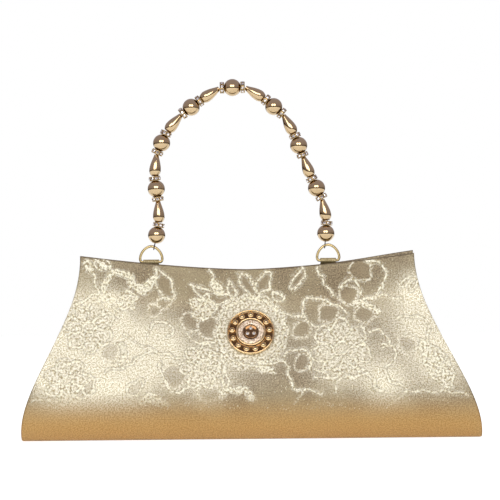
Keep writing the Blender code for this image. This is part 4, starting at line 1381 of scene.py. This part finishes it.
# %% Stones of a rondelle
stone_profile = [(0, 0), (0.98, 0.55), (1.06, 0.68), (1.06, 0.74), (0.62, 1.08), (0, 1.08)]
stone_model = turned("stone_model", [(r * MM, z * MM) for r, z in stone_profile], 8, 0)
stones = []
for index in range(STONES_AROUND):
    turn = Matrix.Rotation(math.tau * index / STONES_AROUND, 4, "Z")
    lean = Matrix.Rotation(math.radians(90), 4, "Y")
    spot = turn @ Matrix.Translation((3.12 * MM, 0, 0)) @ lean
    stones.append(copied(stone_model, "stone", spot))
bpy.data.objects.remove(stone_model)
pick_only(stones[0])
for stone in stones:
    stone.select_set(True)
bpy.ops.object.join()
stone_ring_model = stones[0]
print("stone ring", len(stone_ring_model.data.polygons), "faces")

# %% [markdown]
# ## Rhinestone
#
# The stones are cut glass with a silver foil behind. The foil turns the light
# back, so a facet is a small tilted mirror with a cool pinkish tint. A mostly
# metallic shader on flat facets gives that, and no light has to pass through.

# %% Rhinestone material
rhinestone, tree = new_material("foiled_cut_glass")
place = node(tree, "ShaderNodeTexCoord").outputs["Object"]
spots = node(tree, "ShaderNodeTexVoronoi", {"Vector": place, "Scale": 1 / (1.1 * MM)})
tint = node(tree, "ShaderNodeMix", {0: spots.outputs["Distance"]}, data_type="RGBA")
tint.inputs[6].default_value = colour("#fbf6f4")
tint.inputs[7].default_value = colour("#b9b0ae")
shader = node(
    tree,
    "ShaderNodeBsdfPrincipled",
    {"Base Color": tint.outputs[2], "Metallic": 0.8, "Roughness": 0.06, "Coat Weight": 1.0},
)
node(tree, "ShaderNodeOutputMaterial", {"Surface": shader.outputs[0]})

for index in range(1, RONDELLES + 1):
    name = f"rondelle_{index}"
    spin = Matrix.Rotation(index * 0.37, 4, "Z")
    place = facing_place(solid_middle(name), solid_axis(name)) @ spin
    finished(
        copied(rondelle_model, f"rondelle_ring_{index}", place),
        "handle",
        rondelle_gold,
        "rondelle_gold",
        name,
    )
    finished(
        copied(stone_ring_model, f"rondelle_stones_{index}", place), "handle", rhinestone, "rhinestone"
    )
bpy.data.objects.remove(rondelle_model)
bpy.data.objects.remove(stone_ring_model)
print(RONDELLES, "rondelles")

# %% [markdown]
# ## The D-rings
#
# Each ring is one bent wire, 1.8 mm thick, with a straight bar and a pointed arch.
# A curve with a round bevel is the wire itself, and it becomes a mesh once its
# route is right.

# %% D-rings


def wire_tube(name, points, radius, closed, rounds=6):
    """A round wire along the points, made a mesh."""
    bpy.ops.object.select_all(action="DESELECT")
    line = bpy.data.curves.new(name, "CURVE")
    line.dimensions = "3D"
    line.bevel_depth = radius
    line.bevel_resolution = rounds
    line.use_fill_caps = not closed
    spline = line.splines.new("POLY")
    spline.points.add(len(points) - 1)
    for spot, point in zip(spline.points, points):
        spot.co = (*point, 1)
    spline.use_cyclic_u = closed
    obj = bpy.data.objects.new(name, line)
    bpy.context.scene.collection.objects.link(obj)
    pick_only(obj)
    bpy.ops.object.convert(target="MESH")
    return close_up(bpy.context.object, 40, 0.001 * MM)


def ring_route():
    """The ring's middle line in its own plane, from the bar round to it again."""
    right = []
    for turn in np.linspace(0, math.pi / 2, 9):
        x = RING_HALF_WIDTH - RING_CORNER * (1 - math.sin(turn))
        right.append((x, RING_SHOULDER * (1 - math.cos(turn))))
    for step in range(1, 36):
        x = RING_HALF_WIDTH * math.cos(math.pi / 2 * step / 36)
        right.append((x, arch_height(x)))
    return right + [(0, RING_RISE)] + [(-x, z) for x, z in reversed(right)]


for name in ("left", "right"):
    low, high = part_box(f"d_ring_{name}")
    bar = Vector(((low[0] + high[0]) / 2, 0, BAR_HEIGHT))
    points = [bar + Vector((x, 0, z)) for x, z in ring_route()]
    made = wire_tube(f"ring_wire_{name}", points, RING_WIRE_RADIUS, True)
    finished(made, f"ring_{name}", ring_gold, "ring_gold", f"d_ring_{name}")
print("ring", len(made.data.polygons), "faces")

# %% [markdown]
# ## The handle's wire
#
# One thin coated steel wire carries the beads. At each end it comes out of the
# last ball, goes round the D-ring and back up the bore, so a small dark loop is
# all of it that shows.

# %% Handle wire
WIRE_RADIUS = 0.35 * MM
LOOP_RADIUS = RING_WIRE_RADIUS + 0.6 * MM + WIRE_RADIUS
STRAND_APART = WIRE_RADIUS + 0.2 * MM
TAIL_LENGTH = 4.0 * MM
LOOP_SWEEP = 260
WIRE_CENTRED = 1.8 * MM


def loop_route(middle, up):
    """One end of the wire, from its tail in the ball, round the ring and up again."""
    across = Vector((0, 1, 0))
    mouth = LOOP_RADIUS + WIRE_RADIUS + CLEAR
    points = [middle + up * (mouth + TAIL_LENGTH) + across * STRAND_APART]
    points.append(middle + up * mouth + across * STRAND_APART)
    for degrees in np.linspace((180 - LOOP_SWEEP) / 2, (180 + LOOP_SWEEP) / 2, 31):
        turn = math.radians(degrees)
        points.append(middle + LOOP_RADIUS * (across * math.cos(turn) - up * math.sin(turn)))
    points.append(middle + up * mouth - across * STRAND_APART)
    higher = mouth + TAIL_LENGTH + 2 * WIRE_RADIUS + CLEAR
    points.append(middle + up * higher - across * STRAND_APART)
    points.append(middle + up * (mouth + 2 * BALL_RADIUS - WIRE_CENTRED))
    return points


route = loop_route(loops[0], ball_axes[0])
for index in range(1, TAPERS + 1):
    axis = solid_axis(f"tapered_bead_{index}")
    middle = solid_middle(f"tapered_bead_{index}")
    axis = axis if axis.x > 0 else -axis
    route += [middle - axis * TAPER_LENGTH / 2, middle + axis * TAPER_LENGTH / 2]
route += reversed(loop_route(loops[1], -ball_axes[-1]))
handle_wire = wire_tube("bead_wire", route, WIRE_RADIUS, False, 3)
coated = plated("coated_steel_wire", "#4a4248", "#5d5258", 0.3, 0.3, 0.5)
finished(handle_wire, "handle", coated, "coated_wire", "handle_wire")
print("wire", len(route), "points")

# %% [markdown]
# ## The ornament
#
# The ornament is a cast plate with a thin rim. Thirteen domes stand in a polished
# channel, then comes a raised ring, a frosted disc, and a dark polished boss with
# three small stones. All of it lies flat on the leaning cover, so it is made
# round local Z and placed along the cover's normal.

# %% Ornament's place
MEDALLION_HEIGHT = HEIGHT - SAG - 44.2 * MM
across, level = cover_place(-1, np.array([0.0]), np.array([MEDALLION_HEIGHT]))
seat = Vector(cover_skin(-1, across, level)[0])
outward = Vector(cover_normal(-1, across, level)[0])
ornament_place = facing_place(seat, outward)
print("ornament at", tuple(round(v / MM, 2) for v in seat))

# %% Ornament's gold
ornament_gold = plated("gold_plated_casting", "#d8b987", "#ecd6ac", 0.1, 0.4, 0.9)
tree = ornament_gold.node_tree
skin = next(part for part in tree.nodes if part.type == "BSDF_PRINCIPLED")
unshaded_gold = skin.inputs["Base Color"].links[0].from_socket
# Painted shade: the polished channel, the feet of the domes and their crowns are painted dark brown for shade and dark
# reflection.
painted_shade = node(tree, "ShaderNodeAttribute", attribute_name="painted_shade").outputs["Fac"]
shaded_gold = node(tree, "ShaderNodeMix", {0: painted_shade, 6: unshaded_gold}, data_type="RGBA")
shaded_gold.inputs[7].default_value = colour("#6a4b28")
tree.links.new(shaded_gold.outputs[2], skin.inputs["Base Color"])
print("the channel is darkened where the attribute recess is 1")

# %% Plate with its rims
BACK = 0.56
FLOOR = BACK + 1.2
plate_outline = [(1.8, BACK), (16.2, BACK), (16.5, BACK + 0.3), (16.5, FLOOR + 1.0)]
plate_outline += [(16.0 + r, FLOOR + z) for r, z in arc((0, 0.95), 0.48, 0, 180, 10)]
plate_outline += [(15.45, FLOOR + 0.3), (15.1, FLOOR + 0.05), (14.8, FLOOR), (11.0, FLOOR)]
plate_outline += [(10.6, FLOOR + 0.1), (10.42, FLOOR + 0.5), (10.38, FLOOR + 1.2)]
plate_outline += [(9.85 + r, FLOOR + z) for r, z in arc((0, 1.25), 0.53, 0, 180, 10)]
plate_outline += [(9.3, FLOOR - 0.3), (1.8, FLOOR - 0.3), (1.8, BACK)]
plate = turned("ornament_plate", [(r * MM, z * MM) for r, z in plate_outline], 120)
CHANNEL_INNER, CHANNEL_OUTER = 10.5, 15.3
flat = coords(plate.data) / MM
radius = np.hypot(flat[:, 0], flat[:, 1])
in_channel = (radius > CHANNEL_INNER) & (radius < CHANNEL_OUTER) & (flat[:, 2] < FLOOR + 0.4)
# The channel gets the full painted shade.
set_attribute(plate.data, "painted_shade", np.where(in_channel, 1.0, 0.0))
print("plate", len(plate.data.polygons), "faces,", in_channel.sum(), "points in the channel")

# %% Domes in the channel
DOMES = 13
dome_outline = [(0, 2.02)] + [(2.28 * math.cos(t), 0.18 + 1.84 * math.sin(t)) for t in np.linspace(1.45, 0, 16)]
dome_outline += [(2.3, 0.0), (2.34, -0.3), (0, -0.3)]
dome_model = turned("dome_model", [(r * MM, (z + FLOOR) * MM) for r, z in dome_outline], 32)
rise = coords(dome_model.data)[:, 2] / MM - FLOOR
# Painted shade at the foot of each dome and on its crown.
painted_crown_shade = 0.55 * np.clip((rise - 1.55) / 0.3, 0, 1)
set_attribute(dome_model.data, "painted_shade", np.clip(1 - rise / 0.7, 0, 1) + painted_crown_shade)
domes = []
for index in range(DOMES):
    turn = Matrix.Rotation(math.tau * index / DOMES, 4, "Z")
    domes.append(copied(dome_model, "dome", turn @ Matrix.Translation((0, 12.95 * MM, 0))))
bpy.data.objects.remove(dome_model)
pick_only(plate)
for dome_piece in domes:
    dome_piece.select_set(True)
bpy.ops.object.join()
plate.data.transform(ornament_place)
finished(plate, "front", ornament_gold, "ornament_gold", "medallion_rim")
print("plate with domes", len(plate.data.polygons), "faces")

# %% [markdown]
# The frosted disc is sand-blasted silver plate with a pink tinge. Fine radial
# ridges catch the light in turns, as a real one glitters.

# %% Frosted disc
DISC_LOW, DISC_HIGH = FLOOR - 0.0, FLOOR + 1.2
disc_outline = [(5.5, DISC_LOW), (8.9, DISC_LOW), (9.0, DISC_LOW + 0.1), (9.0, DISC_HIGH - 0.35)]
disc_outline += [(8.7, DISC_HIGH - 0.08), (8.4, DISC_HIGH), (7.4, DISC_HIGH + 0.0), (7.2, DISC_HIGH - 0.16)]
disc_outline += [(7.0, DISC_HIGH - 0.16), (6.8, DISC_HIGH), (5.9, DISC_HIGH), (5.6, DISC_HIGH - 0.15)]
disc_outline += [(5.5, DISC_HIGH - 0.3), (5.5, DISC_LOW)]
disc = turned("ornament_disc", [(r * MM, z * MM) for r, z in disc_outline], 120)
flat = coords(disc.data)
spin = np.arctan2(flat[:, 1], flat[:, 0])
radius = np.hypot(flat[:, 0], flat[:, 1]) / MM
raised = (flat[:, 2] / MM > DISC_HIGH - 0.3) & (radius > 5.7) & (radius < 8.6)
flat[:, 2] += np.where(raised, 0.12 * MM * np.sin(spin * 30 + radius * 1.7), 0)
set_coords(disc.data, flat)
disc.data.transform(ornament_place)

frosted, tree = new_material("frosted_silver_plate")
place = node(tree, "ShaderNodeTexCoord").outputs["Object"]
frost = node(tree, "ShaderNodeTexNoise", {"Vector": place, "Scale": 1 / (0.9 * MM), "Detail": 3.0})
crisp = node(tree, "ShaderNodeMapRange", {0: frost.outputs[0], "From Min": 0.38, "From Max": 0.6})
tint = node(tree, "ShaderNodeMix", {0: crisp.outputs[0]}, data_type="RGBA")
tint.inputs[6].default_value = colour("#a88c6c")
tint.inputs[7].default_value = colour("#f4e7d6")
bump = node(
    tree, "ShaderNodeBump", {"Height": frost.outputs[0], "Strength": 0.9, "Distance": 0.0004}
)
shader = node(
    tree,
    "ShaderNodeBsdfPrincipled",
    {
        "Base Color": tint.outputs[2],
        "Metallic": 0.85,
        "Roughness": 0.42,
        "Normal": bump.outputs[0],
    },
)
node(tree, "ShaderNodeOutputMaterial", {"Surface": shader.outputs[0]})
finished(disc, "front", frosted, "frosted_silver", "medallion_disc")
print("disc", len(disc.data.polygons), "faces")

# %% Boss and its stones
CROWN = FLOOR + 1.5
boss_outline = [(0, BACK), (1.5, BACK), (1.5, FLOOR), (5.0, FLOOR), (5.2, FLOOR + 0.2)]
boss_outline += [(5.2, CROWN - 0.5), (5.05, CROWN - 0.12), (4.8, CROWN), (4.5, CROWN - 0.02)]
boss_outline += [(4.2, CROWN - 0.16), (3.0, CROWN - 0.3), (1.5, CROWN - 0.38), (0, CROWN - 0.4)]
boss = turned("ornament_boss", [(r * MM, z * MM) for r, z in boss_outline], 72)
boss.data.transform(ornament_place)
finished(boss, "front", boss_gold, "ornament_gold", "medallion_boss")

gem_outline = [(0, -0.75), (1.05, -0.05), (1.15, 0.1), (1.15, 0.18), (0.66, 0.55), (0, 0.55)]
gem_model = turned("gem_model", [(r * MM, z * MM) for r, z in gem_outline], 8, 0)
cup_outline = [(1.1, -0.3), (1.34, -0.3), (1.42, 0.0), (1.36, 0.24), (1.22, 0.3), (1.14, 0.2), (1.1, -0.3)]
cup_model = turned("cup_model", [(r * MM, z * MM) for r, z in cup_outline], 24)
for index in range(1, 4):
    turn = Matrix.Rotation(math.tau * (index - 1) / 3, 4, "Z")
    lift = Matrix.Translation((0, 2.6 * MM, (CROWN - 0.3) * MM))
    place = ornament_place @ turn @ lift
    gem = copied(gem_model, f"ornament_stone_{index}", place)
    finished(gem, "front", rhinestone, "rhinestone", f"medallion_stone_{index}")
    cup = copied(cup_model, f"ornament_cup_{index}", place)
    finished(cup, "front", ornament_gold, "ornament_gold")
bpy.data.objects.remove(gem_model)
bpy.data.objects.remove(cup_model)
print("boss, three stones and their cups")

# %% [markdown]
# ## The base
#
# The base is a board wrapped in the same brocade, plain on this side. A grid slab
# is fine enough to round its long edges and to carry the cloth's grain.

# %% Base
WRAP = 0.7 * MM  # how far the folded cloth stands out beyond the board, towards the covers
base_low, base_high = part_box("base_board")
bpy.ops.object.select_all(action="DESELECT")
bpy.ops.mesh.primitive_grid_add(x_subdivisions=120, y_subdivisions=12, size=1)
base = bpy.context.object
base.name = "base_brocade"
bpy.ops.object.mode_set(mode="EDIT")
bpy.ops.mesh.select_all(action="SELECT")
size = [high - low for low, high in zip(base_low, base_high)]
bpy.ops.transform.resize(value=(size[0], size[1] + 2 * WRAP, 1))
bpy.ops.mesh.extrude_region_move(TRANSFORM_OT_translate={"value": (0, 0, size[2])})
bpy.ops.mesh.select_all(action="SELECT")
bpy.ops.mesh.normals_make_consistent(inside=False)
bpy.ops.object.mode_set(mode="OBJECT")
rounding = base.modifiers.new("rounded_edges", "BEVEL")
rounding.width = 0.7 * MM
rounding.segments = 4
rounding.limit_method = "ANGLE"
pick_only(base)
bpy.ops.object.modifier_apply(modifier=rounding.name)
flat = coords(base.data)
cloth = base.data.uv_layers.new(name="cloth")
corner = np.empty(len(base.data.loops), np.int32)
base.data.loops.foreach_get("vertex_index", corner)
cloth.data.foreach_set("uv", flat[corner][:, :2].astype(np.float32).ravel())
set_attribute(base.data, "thread", np.full(len(flat), REACH))
for layer in ("patch", "veil_and_sheen", "fold"):
    set_attribute(base.data, layer, np.zeros(len(flat)))
close_up(base, 40, 0.001 * MM)
finished(base, "bag", gold_brocade, "gold_brocade", "base_board")
print("base", len(base.data.polygons), "faces")

# %% [markdown]
# ## Satin lining
#
# The inside is lined with woven satin: long floats of fine yarn that gleam along
# one direction. A shader with raised sheen and a fine line bump gives the gleam.
# The linings are glued to their boards at the edges only, so they ripple a little.

# %% Satin material
satin, tree = new_material("woven_satin")
place = node(tree, "ShaderNodeTexCoord").outputs["Object"]
stretch = node(tree, "ShaderNodeMapping", {"Vector": place, "Scale": (1.0, 1.0, 9.0)})
floats = node(tree, "ShaderNodeTexNoise", {"Vector": stretch.outputs[0], "Scale": 260.0, "Detail": 3.0})
tint = node(tree, "ShaderNodeMix", {0: floats.outputs[0]}, data_type="RGBA")
tint.inputs[6].default_value = colour("#8d6b35")
tint.inputs[7].default_value = colour("#c09a57")
bump = node(
    tree, "ShaderNodeBump", {"Height": floats.outputs[0], "Strength": 0.35, "Distance": 0.0002}
)
shader = node(
    tree,
    "ShaderNodeBsdfPrincipled",
    {
        "Base Color": tint.outputs[2],
        "Roughness": 0.42,
        "Sheen Weight": 0.35,
        "Normal": bump.outputs[0],
    },
)
node(tree, "ShaderNodeOutputMaterial", {"Surface": shader.outputs[0]})
print("satin with", len(tree.nodes), "nodes")

# %% Cover linings
LINING_THICK = 0.6 * MM
LINING_OUTER = COVER_THICK - 0.12 * MM  # pressed into the glue, so no light shows behind it
LINING_FOOT = 4.5 * MM
LINING_SIDE_INSET = 1.5 * MM
LINING_TOP_INSET = 3.0 * MM


def lining(name, side):
    """A thin sheet on the inside of a cover, with slight ripples away from its glued edges."""
    bpy.ops.object.select_all(action="DESELECT")
    bpy.ops.mesh.primitive_grid_add(x_subdivisions=110, y_subdivisions=56, size=2)
    sheet = bpy.context.object
    sheet.name = name
    bpy.ops.object.mode_set(mode="EDIT")
    bpy.ops.mesh.select_all(action="SELECT")
    bpy.ops.mesh.extrude_region_move(TRANSFORM_OT_translate={"value": (0, 0, -1)})
    bpy.ops.object.mode_set(mode="OBJECT")
    flat = coords(sheet.data)
    level = np.interp((flat[:, 1] + 1) / 2, PROFILE_SHARES, LEVELS)
    level = LINING_FOOT / HEIGHT + level * (1 - (LINING_FOOT + LINING_TOP_INSET) / HEIGHT)
    across = flat[:, 0] * (1 - LINING_SIDE_INSET / half_width(level))
    skin = cover_skin(side, across, level)
    normal = cover_normal(side, across, level)
    held = np.minimum(1 - np.abs(flat[:, 0]), 1 - np.abs(flat[:, 1]))
    wave = np.sin(flat[:, 0] * 17 + flat[:, 1] * 3) * np.sin(flat[:, 1] * 5 + 1) ** 2
    ripple = 0.12 * MM * wave * np.clip(held * 4, 0, 1)
    deep = LINING_OUTER - flat[:, 2] * LINING_THICK
    set_coords(sheet.data, skin - normal * (deep - ripple)[:, None])
    return close_up(sheet, 50, 0.001 * MM)


for name, side, body in (("front_lining_satin", -1, "front"), ("back_lining_satin", 1, "bag")):
    made = lining(name, side)
    finished(made, body, satin, "satin_lining", name.replace("_satin", ""))

# %% Base lining
low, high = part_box("base_lining")
bpy.ops.object.select_all(action="DESELECT")
bpy.ops.mesh.primitive_grid_add(x_subdivisions=90, y_subdivisions=10, size=1)
floor_satin = bpy.context.object
floor_satin.name = "base_lining_satin"
bpy.ops.object.mode_set(mode="EDIT")
bpy.ops.mesh.select_all(action="SELECT")
bpy.ops.transform.resize(value=(high[0] - low[0], high[1] - low[1], 1))
bpy.ops.transform.translate(value=(0, 0, low[2]))
bpy.ops.mesh.extrude_region_move(TRANSFORM_OT_translate={"value": (0, 0, high[2] - low[2])})
bpy.ops.object.mode_set(mode="OBJECT")
flat = coords(floor_satin.data)
held = np.minimum(high[0] - np.abs(flat[:, 0]), high[1] - np.abs(flat[:, 1])) / (6 * MM)
flat[:, 2] += 0.08 * MM * np.sin(flat[:, 0] * 130) * np.sin(flat[:, 1] * 210) * np.clip(held, 0, 1)
set_coords(floor_satin.data, flat)
close_up(floor_satin, 50, 0.001 * MM)
finished(floor_satin, "bag", satin, "satin_lining", "base_lining")
print("base lining", len(floor_satin.data.polygons), "faces")

# %% [markdown]
# ## The end gussets
#
# Each end is closed by a strip of satin that folds inwards, so that the bag can
# open. Seen from above it is a V whose crease points into the bag. Its two leaves
# hang slack between the linings, with soft vertical ripples.

# %% Gussets
GUSSET_THICK = 0.15 * MM
GUSSET_FOLD_TOP = 22 * MM
GUSSET_FOLD_FOOT = 12 * MM
GUSSET_SIDE_INSET = 1.5 * MM
GUSSET_DEEP = COVER_THICK + LINING_THICK - 0.35 * MM  # its edges are caught in the linings


def gusset(name, side):
    low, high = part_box(name)
    bpy.ops.object.select_all(action="DESELECT")
    bpy.ops.mesh.primitive_grid_add(x_subdivisions=40, y_subdivisions=48, size=2)
    sheet = bpy.context.object
    sheet.name = name + "_satin"
    bpy.ops.object.mode_set(mode="EDIT")
    bpy.ops.mesh.select_all(action="SELECT")
    bpy.ops.mesh.extrude_region_move(TRANSFORM_OT_translate={"value": (0, 0, -1)})
    bpy.ops.object.mode_set(mode="OBJECT")
    flat = coords(sheet.data)
    share = (flat[:, 1] + 1) / 2
    z = low[2] + (high[2] - low[2]) * share
    level = z / HEIGHT
    edge_level = cover_place(-1, TOP_SHIFT * level + side * half_width(level), z)[1]
    tilt = np.abs(cover_normal(-1, np.ones(len(z)), edge_level)[:, 1])
    edge_y = half_depth(z) - GUSSET_DEEP / tilt
    edge_x = TOP_SHIFT * level + side * (half_width(level) - GUSSET_SIDE_INSET)
    fold = GUSSET_FOLD_FOOT + (GUSSET_FOLD_TOP - GUSSET_FOLD_FOOT) * share
    out = np.abs(flat[:, 0])
    inner = -flat[:, 2]
    soft = np.sqrt(out**2 + 0.0025) - 0.05 * (1 - out)
    x = edge_x - side * fold * (1 - soft)
    ripple = 0.35 * MM * np.sin(flat[:, 0] * 9 + share * 5) * (1 - out) * out * 4
    y = np.sign(flat[:, 0]) * edge_y * soft * np.where(out > 0, 1, 0)
    thick = GUSSET_THICK * inner
    y = y - np.sign(flat[:, 0]) * np.minimum(thick, np.abs(y)) * (out > 0.02)
    x = x + side * (ripple * (out < 0.99) + thick * np.clip(1 - out * 3, 0, 1))
    set_coords(sheet.data, np.stack([x, y, z], axis=1))
    return close_up(sheet, 50, 0.0005 * MM)


for name, side in (("gusset_left", -1), ("gusset_right", 1)):
    made = gusset(name, side)
    low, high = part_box(name)
    made.data.materials.append(satin)
    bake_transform(made)
    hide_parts(name)
print("gusset", len(made.data.polygons), "faces")

# %% [markdown]
# ## The straps
#
# Each D-ring hangs in a strap of stiff gold ribbon, folded round the bar, with its
# ends glued between the linings. The ribbon follows the solid's path, is given its
# thickness by Solidify, and a row of pale stitches runs along the fold.

# %% Ribbon material
ribbon, tree = new_material("gold_lame_ribbon")
place = node(tree, "ShaderNodeTexCoord").outputs["Object"]
rows = node(
    tree,
    "ShaderNodeTexWave",
    {"Vector": place, "Scale": 330.0, "Distortion": 0.6, "Detail": 1.0},
    bands_direction="X",
)
grain = node(tree, "ShaderNodeTexNoise", {"Vector": place, "Scale": 1400.0})
share = node(tree, "ShaderNodeMath", {0: rows.outputs["Fac"], 1: grain.outputs[0]}, operation="MULTIPLY")
tint = node(tree, "ShaderNodeMix", {0: share.outputs[0]}, data_type="RGBA")
tint.inputs[6].default_value = colour("#a08c5c")
tint.inputs[7].default_value = colour("#efe3b8")
bump = node(
    tree, "ShaderNodeBump", {"Height": rows.outputs["Fac"], "Strength": 0.6, "Distance": 0.0003}
)
shader = node(
    tree,
    "ShaderNodeBsdfPrincipled",
    {"Base Color": tint.outputs[2], "Metallic": 0.55, "Roughness": 0.4, "Normal": bump.outputs[0]},
)
node(tree, "ShaderNodeOutputMaterial", {"Surface": shader.outputs[0]})
thread_gold = plated("pale_metal_thread", "#e6d5a6", "#f4ead0", 0.3, 0.6, 0.3)
print("ribbon and thread")

# %% Straps
LINING_FACE = MOUTH_DEPTH / 2 - COVER_THICK - CLEAR - LINING_THICK
TAB_THICK = 0.6 * MM
TAB_LENGTH = 16 * MM
STRAP_AROUND = RING_WIRE_RADIUS + CLEAR + TAB_THICK / 2
STRAP_NECK = -(RING_WIRE_RADIUS + CLEAR + TAB_THICK + 1.0 * MM)


def strap_route():
    """The strap's middle line as (y, z) from the bar: up behind, round the bar, down in front."""
    back = LINING_FACE - CLEAR - TAB_THICK / 2
    front = back - TAB_THICK - CLEAR
    line = [(back, -TAB_LENGTH + t * (TAB_LENGTH + STRAP_NECK)) for t in np.linspace(0, 1, 12)]
    for degrees in np.linspace((180 - LOOP_SWEEP) / 2, (180 + LOOP_SWEEP) / 2, 28):
        turn = math.radians(degrees)
        line.append((STRAP_AROUND * math.cos(turn), STRAP_AROUND * math.sin(turn)))
    return line + [(front, -TAB_LENGTH + t * (TAB_LENGTH + STRAP_NECK)) for t in np.linspace(1, 0, 12)]


def strap(name, bar, width):
    line = strap_route()
    bpy.ops.object.select_all(action="DESELECT")
    bpy.ops.mesh.primitive_grid_add(x_subdivisions=16, y_subdivisions=len(line) - 1, size=2)
    made = bpy.context.object
    made.name = name
    flat = coords(made.data)
    row = np.rint((flat[:, 1] + 1) / 2 * (len(line) - 1)).astype(int)
    spots = np.array(line)[row]
    scallop = 0.12 * MM * np.sin(row * 1.9) * (np.abs(flat[:, 0]) > 0.99) * np.sign(flat[:, 0])
    x = bar.x + flat[:, 0] * (width / 2 - 0.15 * MM) + scallop
    set_coords(made.data, np.stack([x, bar.y + spots[:, 0], bar.z + spots[:, 1]], axis=1))
    thick = made.modifiers.new("ribbon_thickness", "SOLIDIFY")
    thick.thickness = TAB_THICK - 0.05 * MM
    thick.offset = 0
    pick_only(made)
    bpy.ops.object.modifier_apply(modifier=thick.name)
    return close_up(made, 40, 0.0005 * MM)


bpy.ops.object.select_all(action="DESELECT")
bpy.ops.mesh.primitive_uv_sphere_add(segments=8, ring_count=6, radius=0.5)
stitch_model = bpy.context.object
stitch_model.data.transform(Matrix.Diagonal((1.05 * MM, 0.34 * MM, 0.4 * MM, 1)))
for name in ("left", "right"):
    low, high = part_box(f"tab_{name}")
    ring_low, ring_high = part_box(f"d_ring_{name}")
    bar = Vector(((ring_low[0] + ring_high[0]) / 2, 0, BAR_HEIGHT))
    made = strap(f"strap_{name}", bar, high[0] - low[0])
    finished(made, "bag", ribbon, "gold_strap", f"tab_{name}")
    row = []
    for index in range(7):
        x = bar.x + (index - 3) * 1.5 * MM
        spot = Vector((x, -(STRAP_AROUND + TAB_THICK / 2 - 0.02 * MM), bar.z + 0.1 * MM))
        row.append(copied(stitch_model, f"stitches_{name}", Matrix.Translation(spot)))
    pick_only(row[0])
    for stitch in row:
        stitch.select_set(True)
    bpy.ops.object.join()
    row[0].name = f"strap_stitches_{name}"
    bpy.ops.object.shade_smooth()
    finished(row[0], "bag", thread_gold, "gold_strap")
bpy.data.objects.remove(stitch_model)
print("two straps with stitches")

# %% [markdown]
# ## The magnetic snap
#
# A snap half is a pressed nickel-plated cup round a magnet. The socket has a hole
# for the stud's nub. Each is one turned piece, riveted through the lining to a
# washer that the cover hides. The washers keep their solids' shape.

# %% Snap
nickel = plated("nickel_plated_cup", "#c9c6bd", "#dedbd2", 0.18, 0.4, 0.8)
zinc_steel = plated("zinc_plated_steel", "#a8aaab", "#bfc1c2", 0.38, 0.6, 0.8)
for name, side, body in (("snap_socket", -1, "front"), ("snap_stud", 1, "bag")):
    low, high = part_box(name)
    middle = Vector(((low[0] + high[0]) / 2, side * LINING_FACE, (low[2] + high[2]) / 2))
    socket = name == "snap_socket"
    crown = 2.8 + 0.3 if socket else 1.6 + 0.3
    outline = [(0, -1.6), (1.5, -1.6), (1.5, 0.3), (6.7, 0.3), (6.95, 0.45), (7.0, 0.7)]
    outline += [(7.0 - 0.6 + r, crown - 0.6 + z) for r, z in arc((0, 0), 0.6, 0, 90, 6)]
    outline += [(5.2, crown), (5.0, crown - 0.12), (4.7, crown - 0.12), (4.5, crown)]
    if socket:
        outline += [(2.8, crown), (2.65, crown - 0.1), (2.6, crown - 2.0), (0, crown - 2.0)]
    else:
        tip = crown + 1.65
        outline += [(2.15, crown), (2.0, crown + 0.15), (1.9, tip - 0.4), (1.6, tip - 0.1), (0, tip)]
    made = turned(name + "_cup", [(r * MM, z * MM) for r, z in outline], 48)
    made.data.transform(facing_place(middle, Vector((0, -side, 0))))
    finished(made, body, nickel, "snap_nickel", name)
for name in ("snap_socket_washer", "snap_stud_washer", "medallion_washer"):
    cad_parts[name].data.materials.clear()
    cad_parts[name].data.materials.append(zinc_steel)
print("snap and washers")

bpy.context.scene.view_settings.view_transform = "Standard"
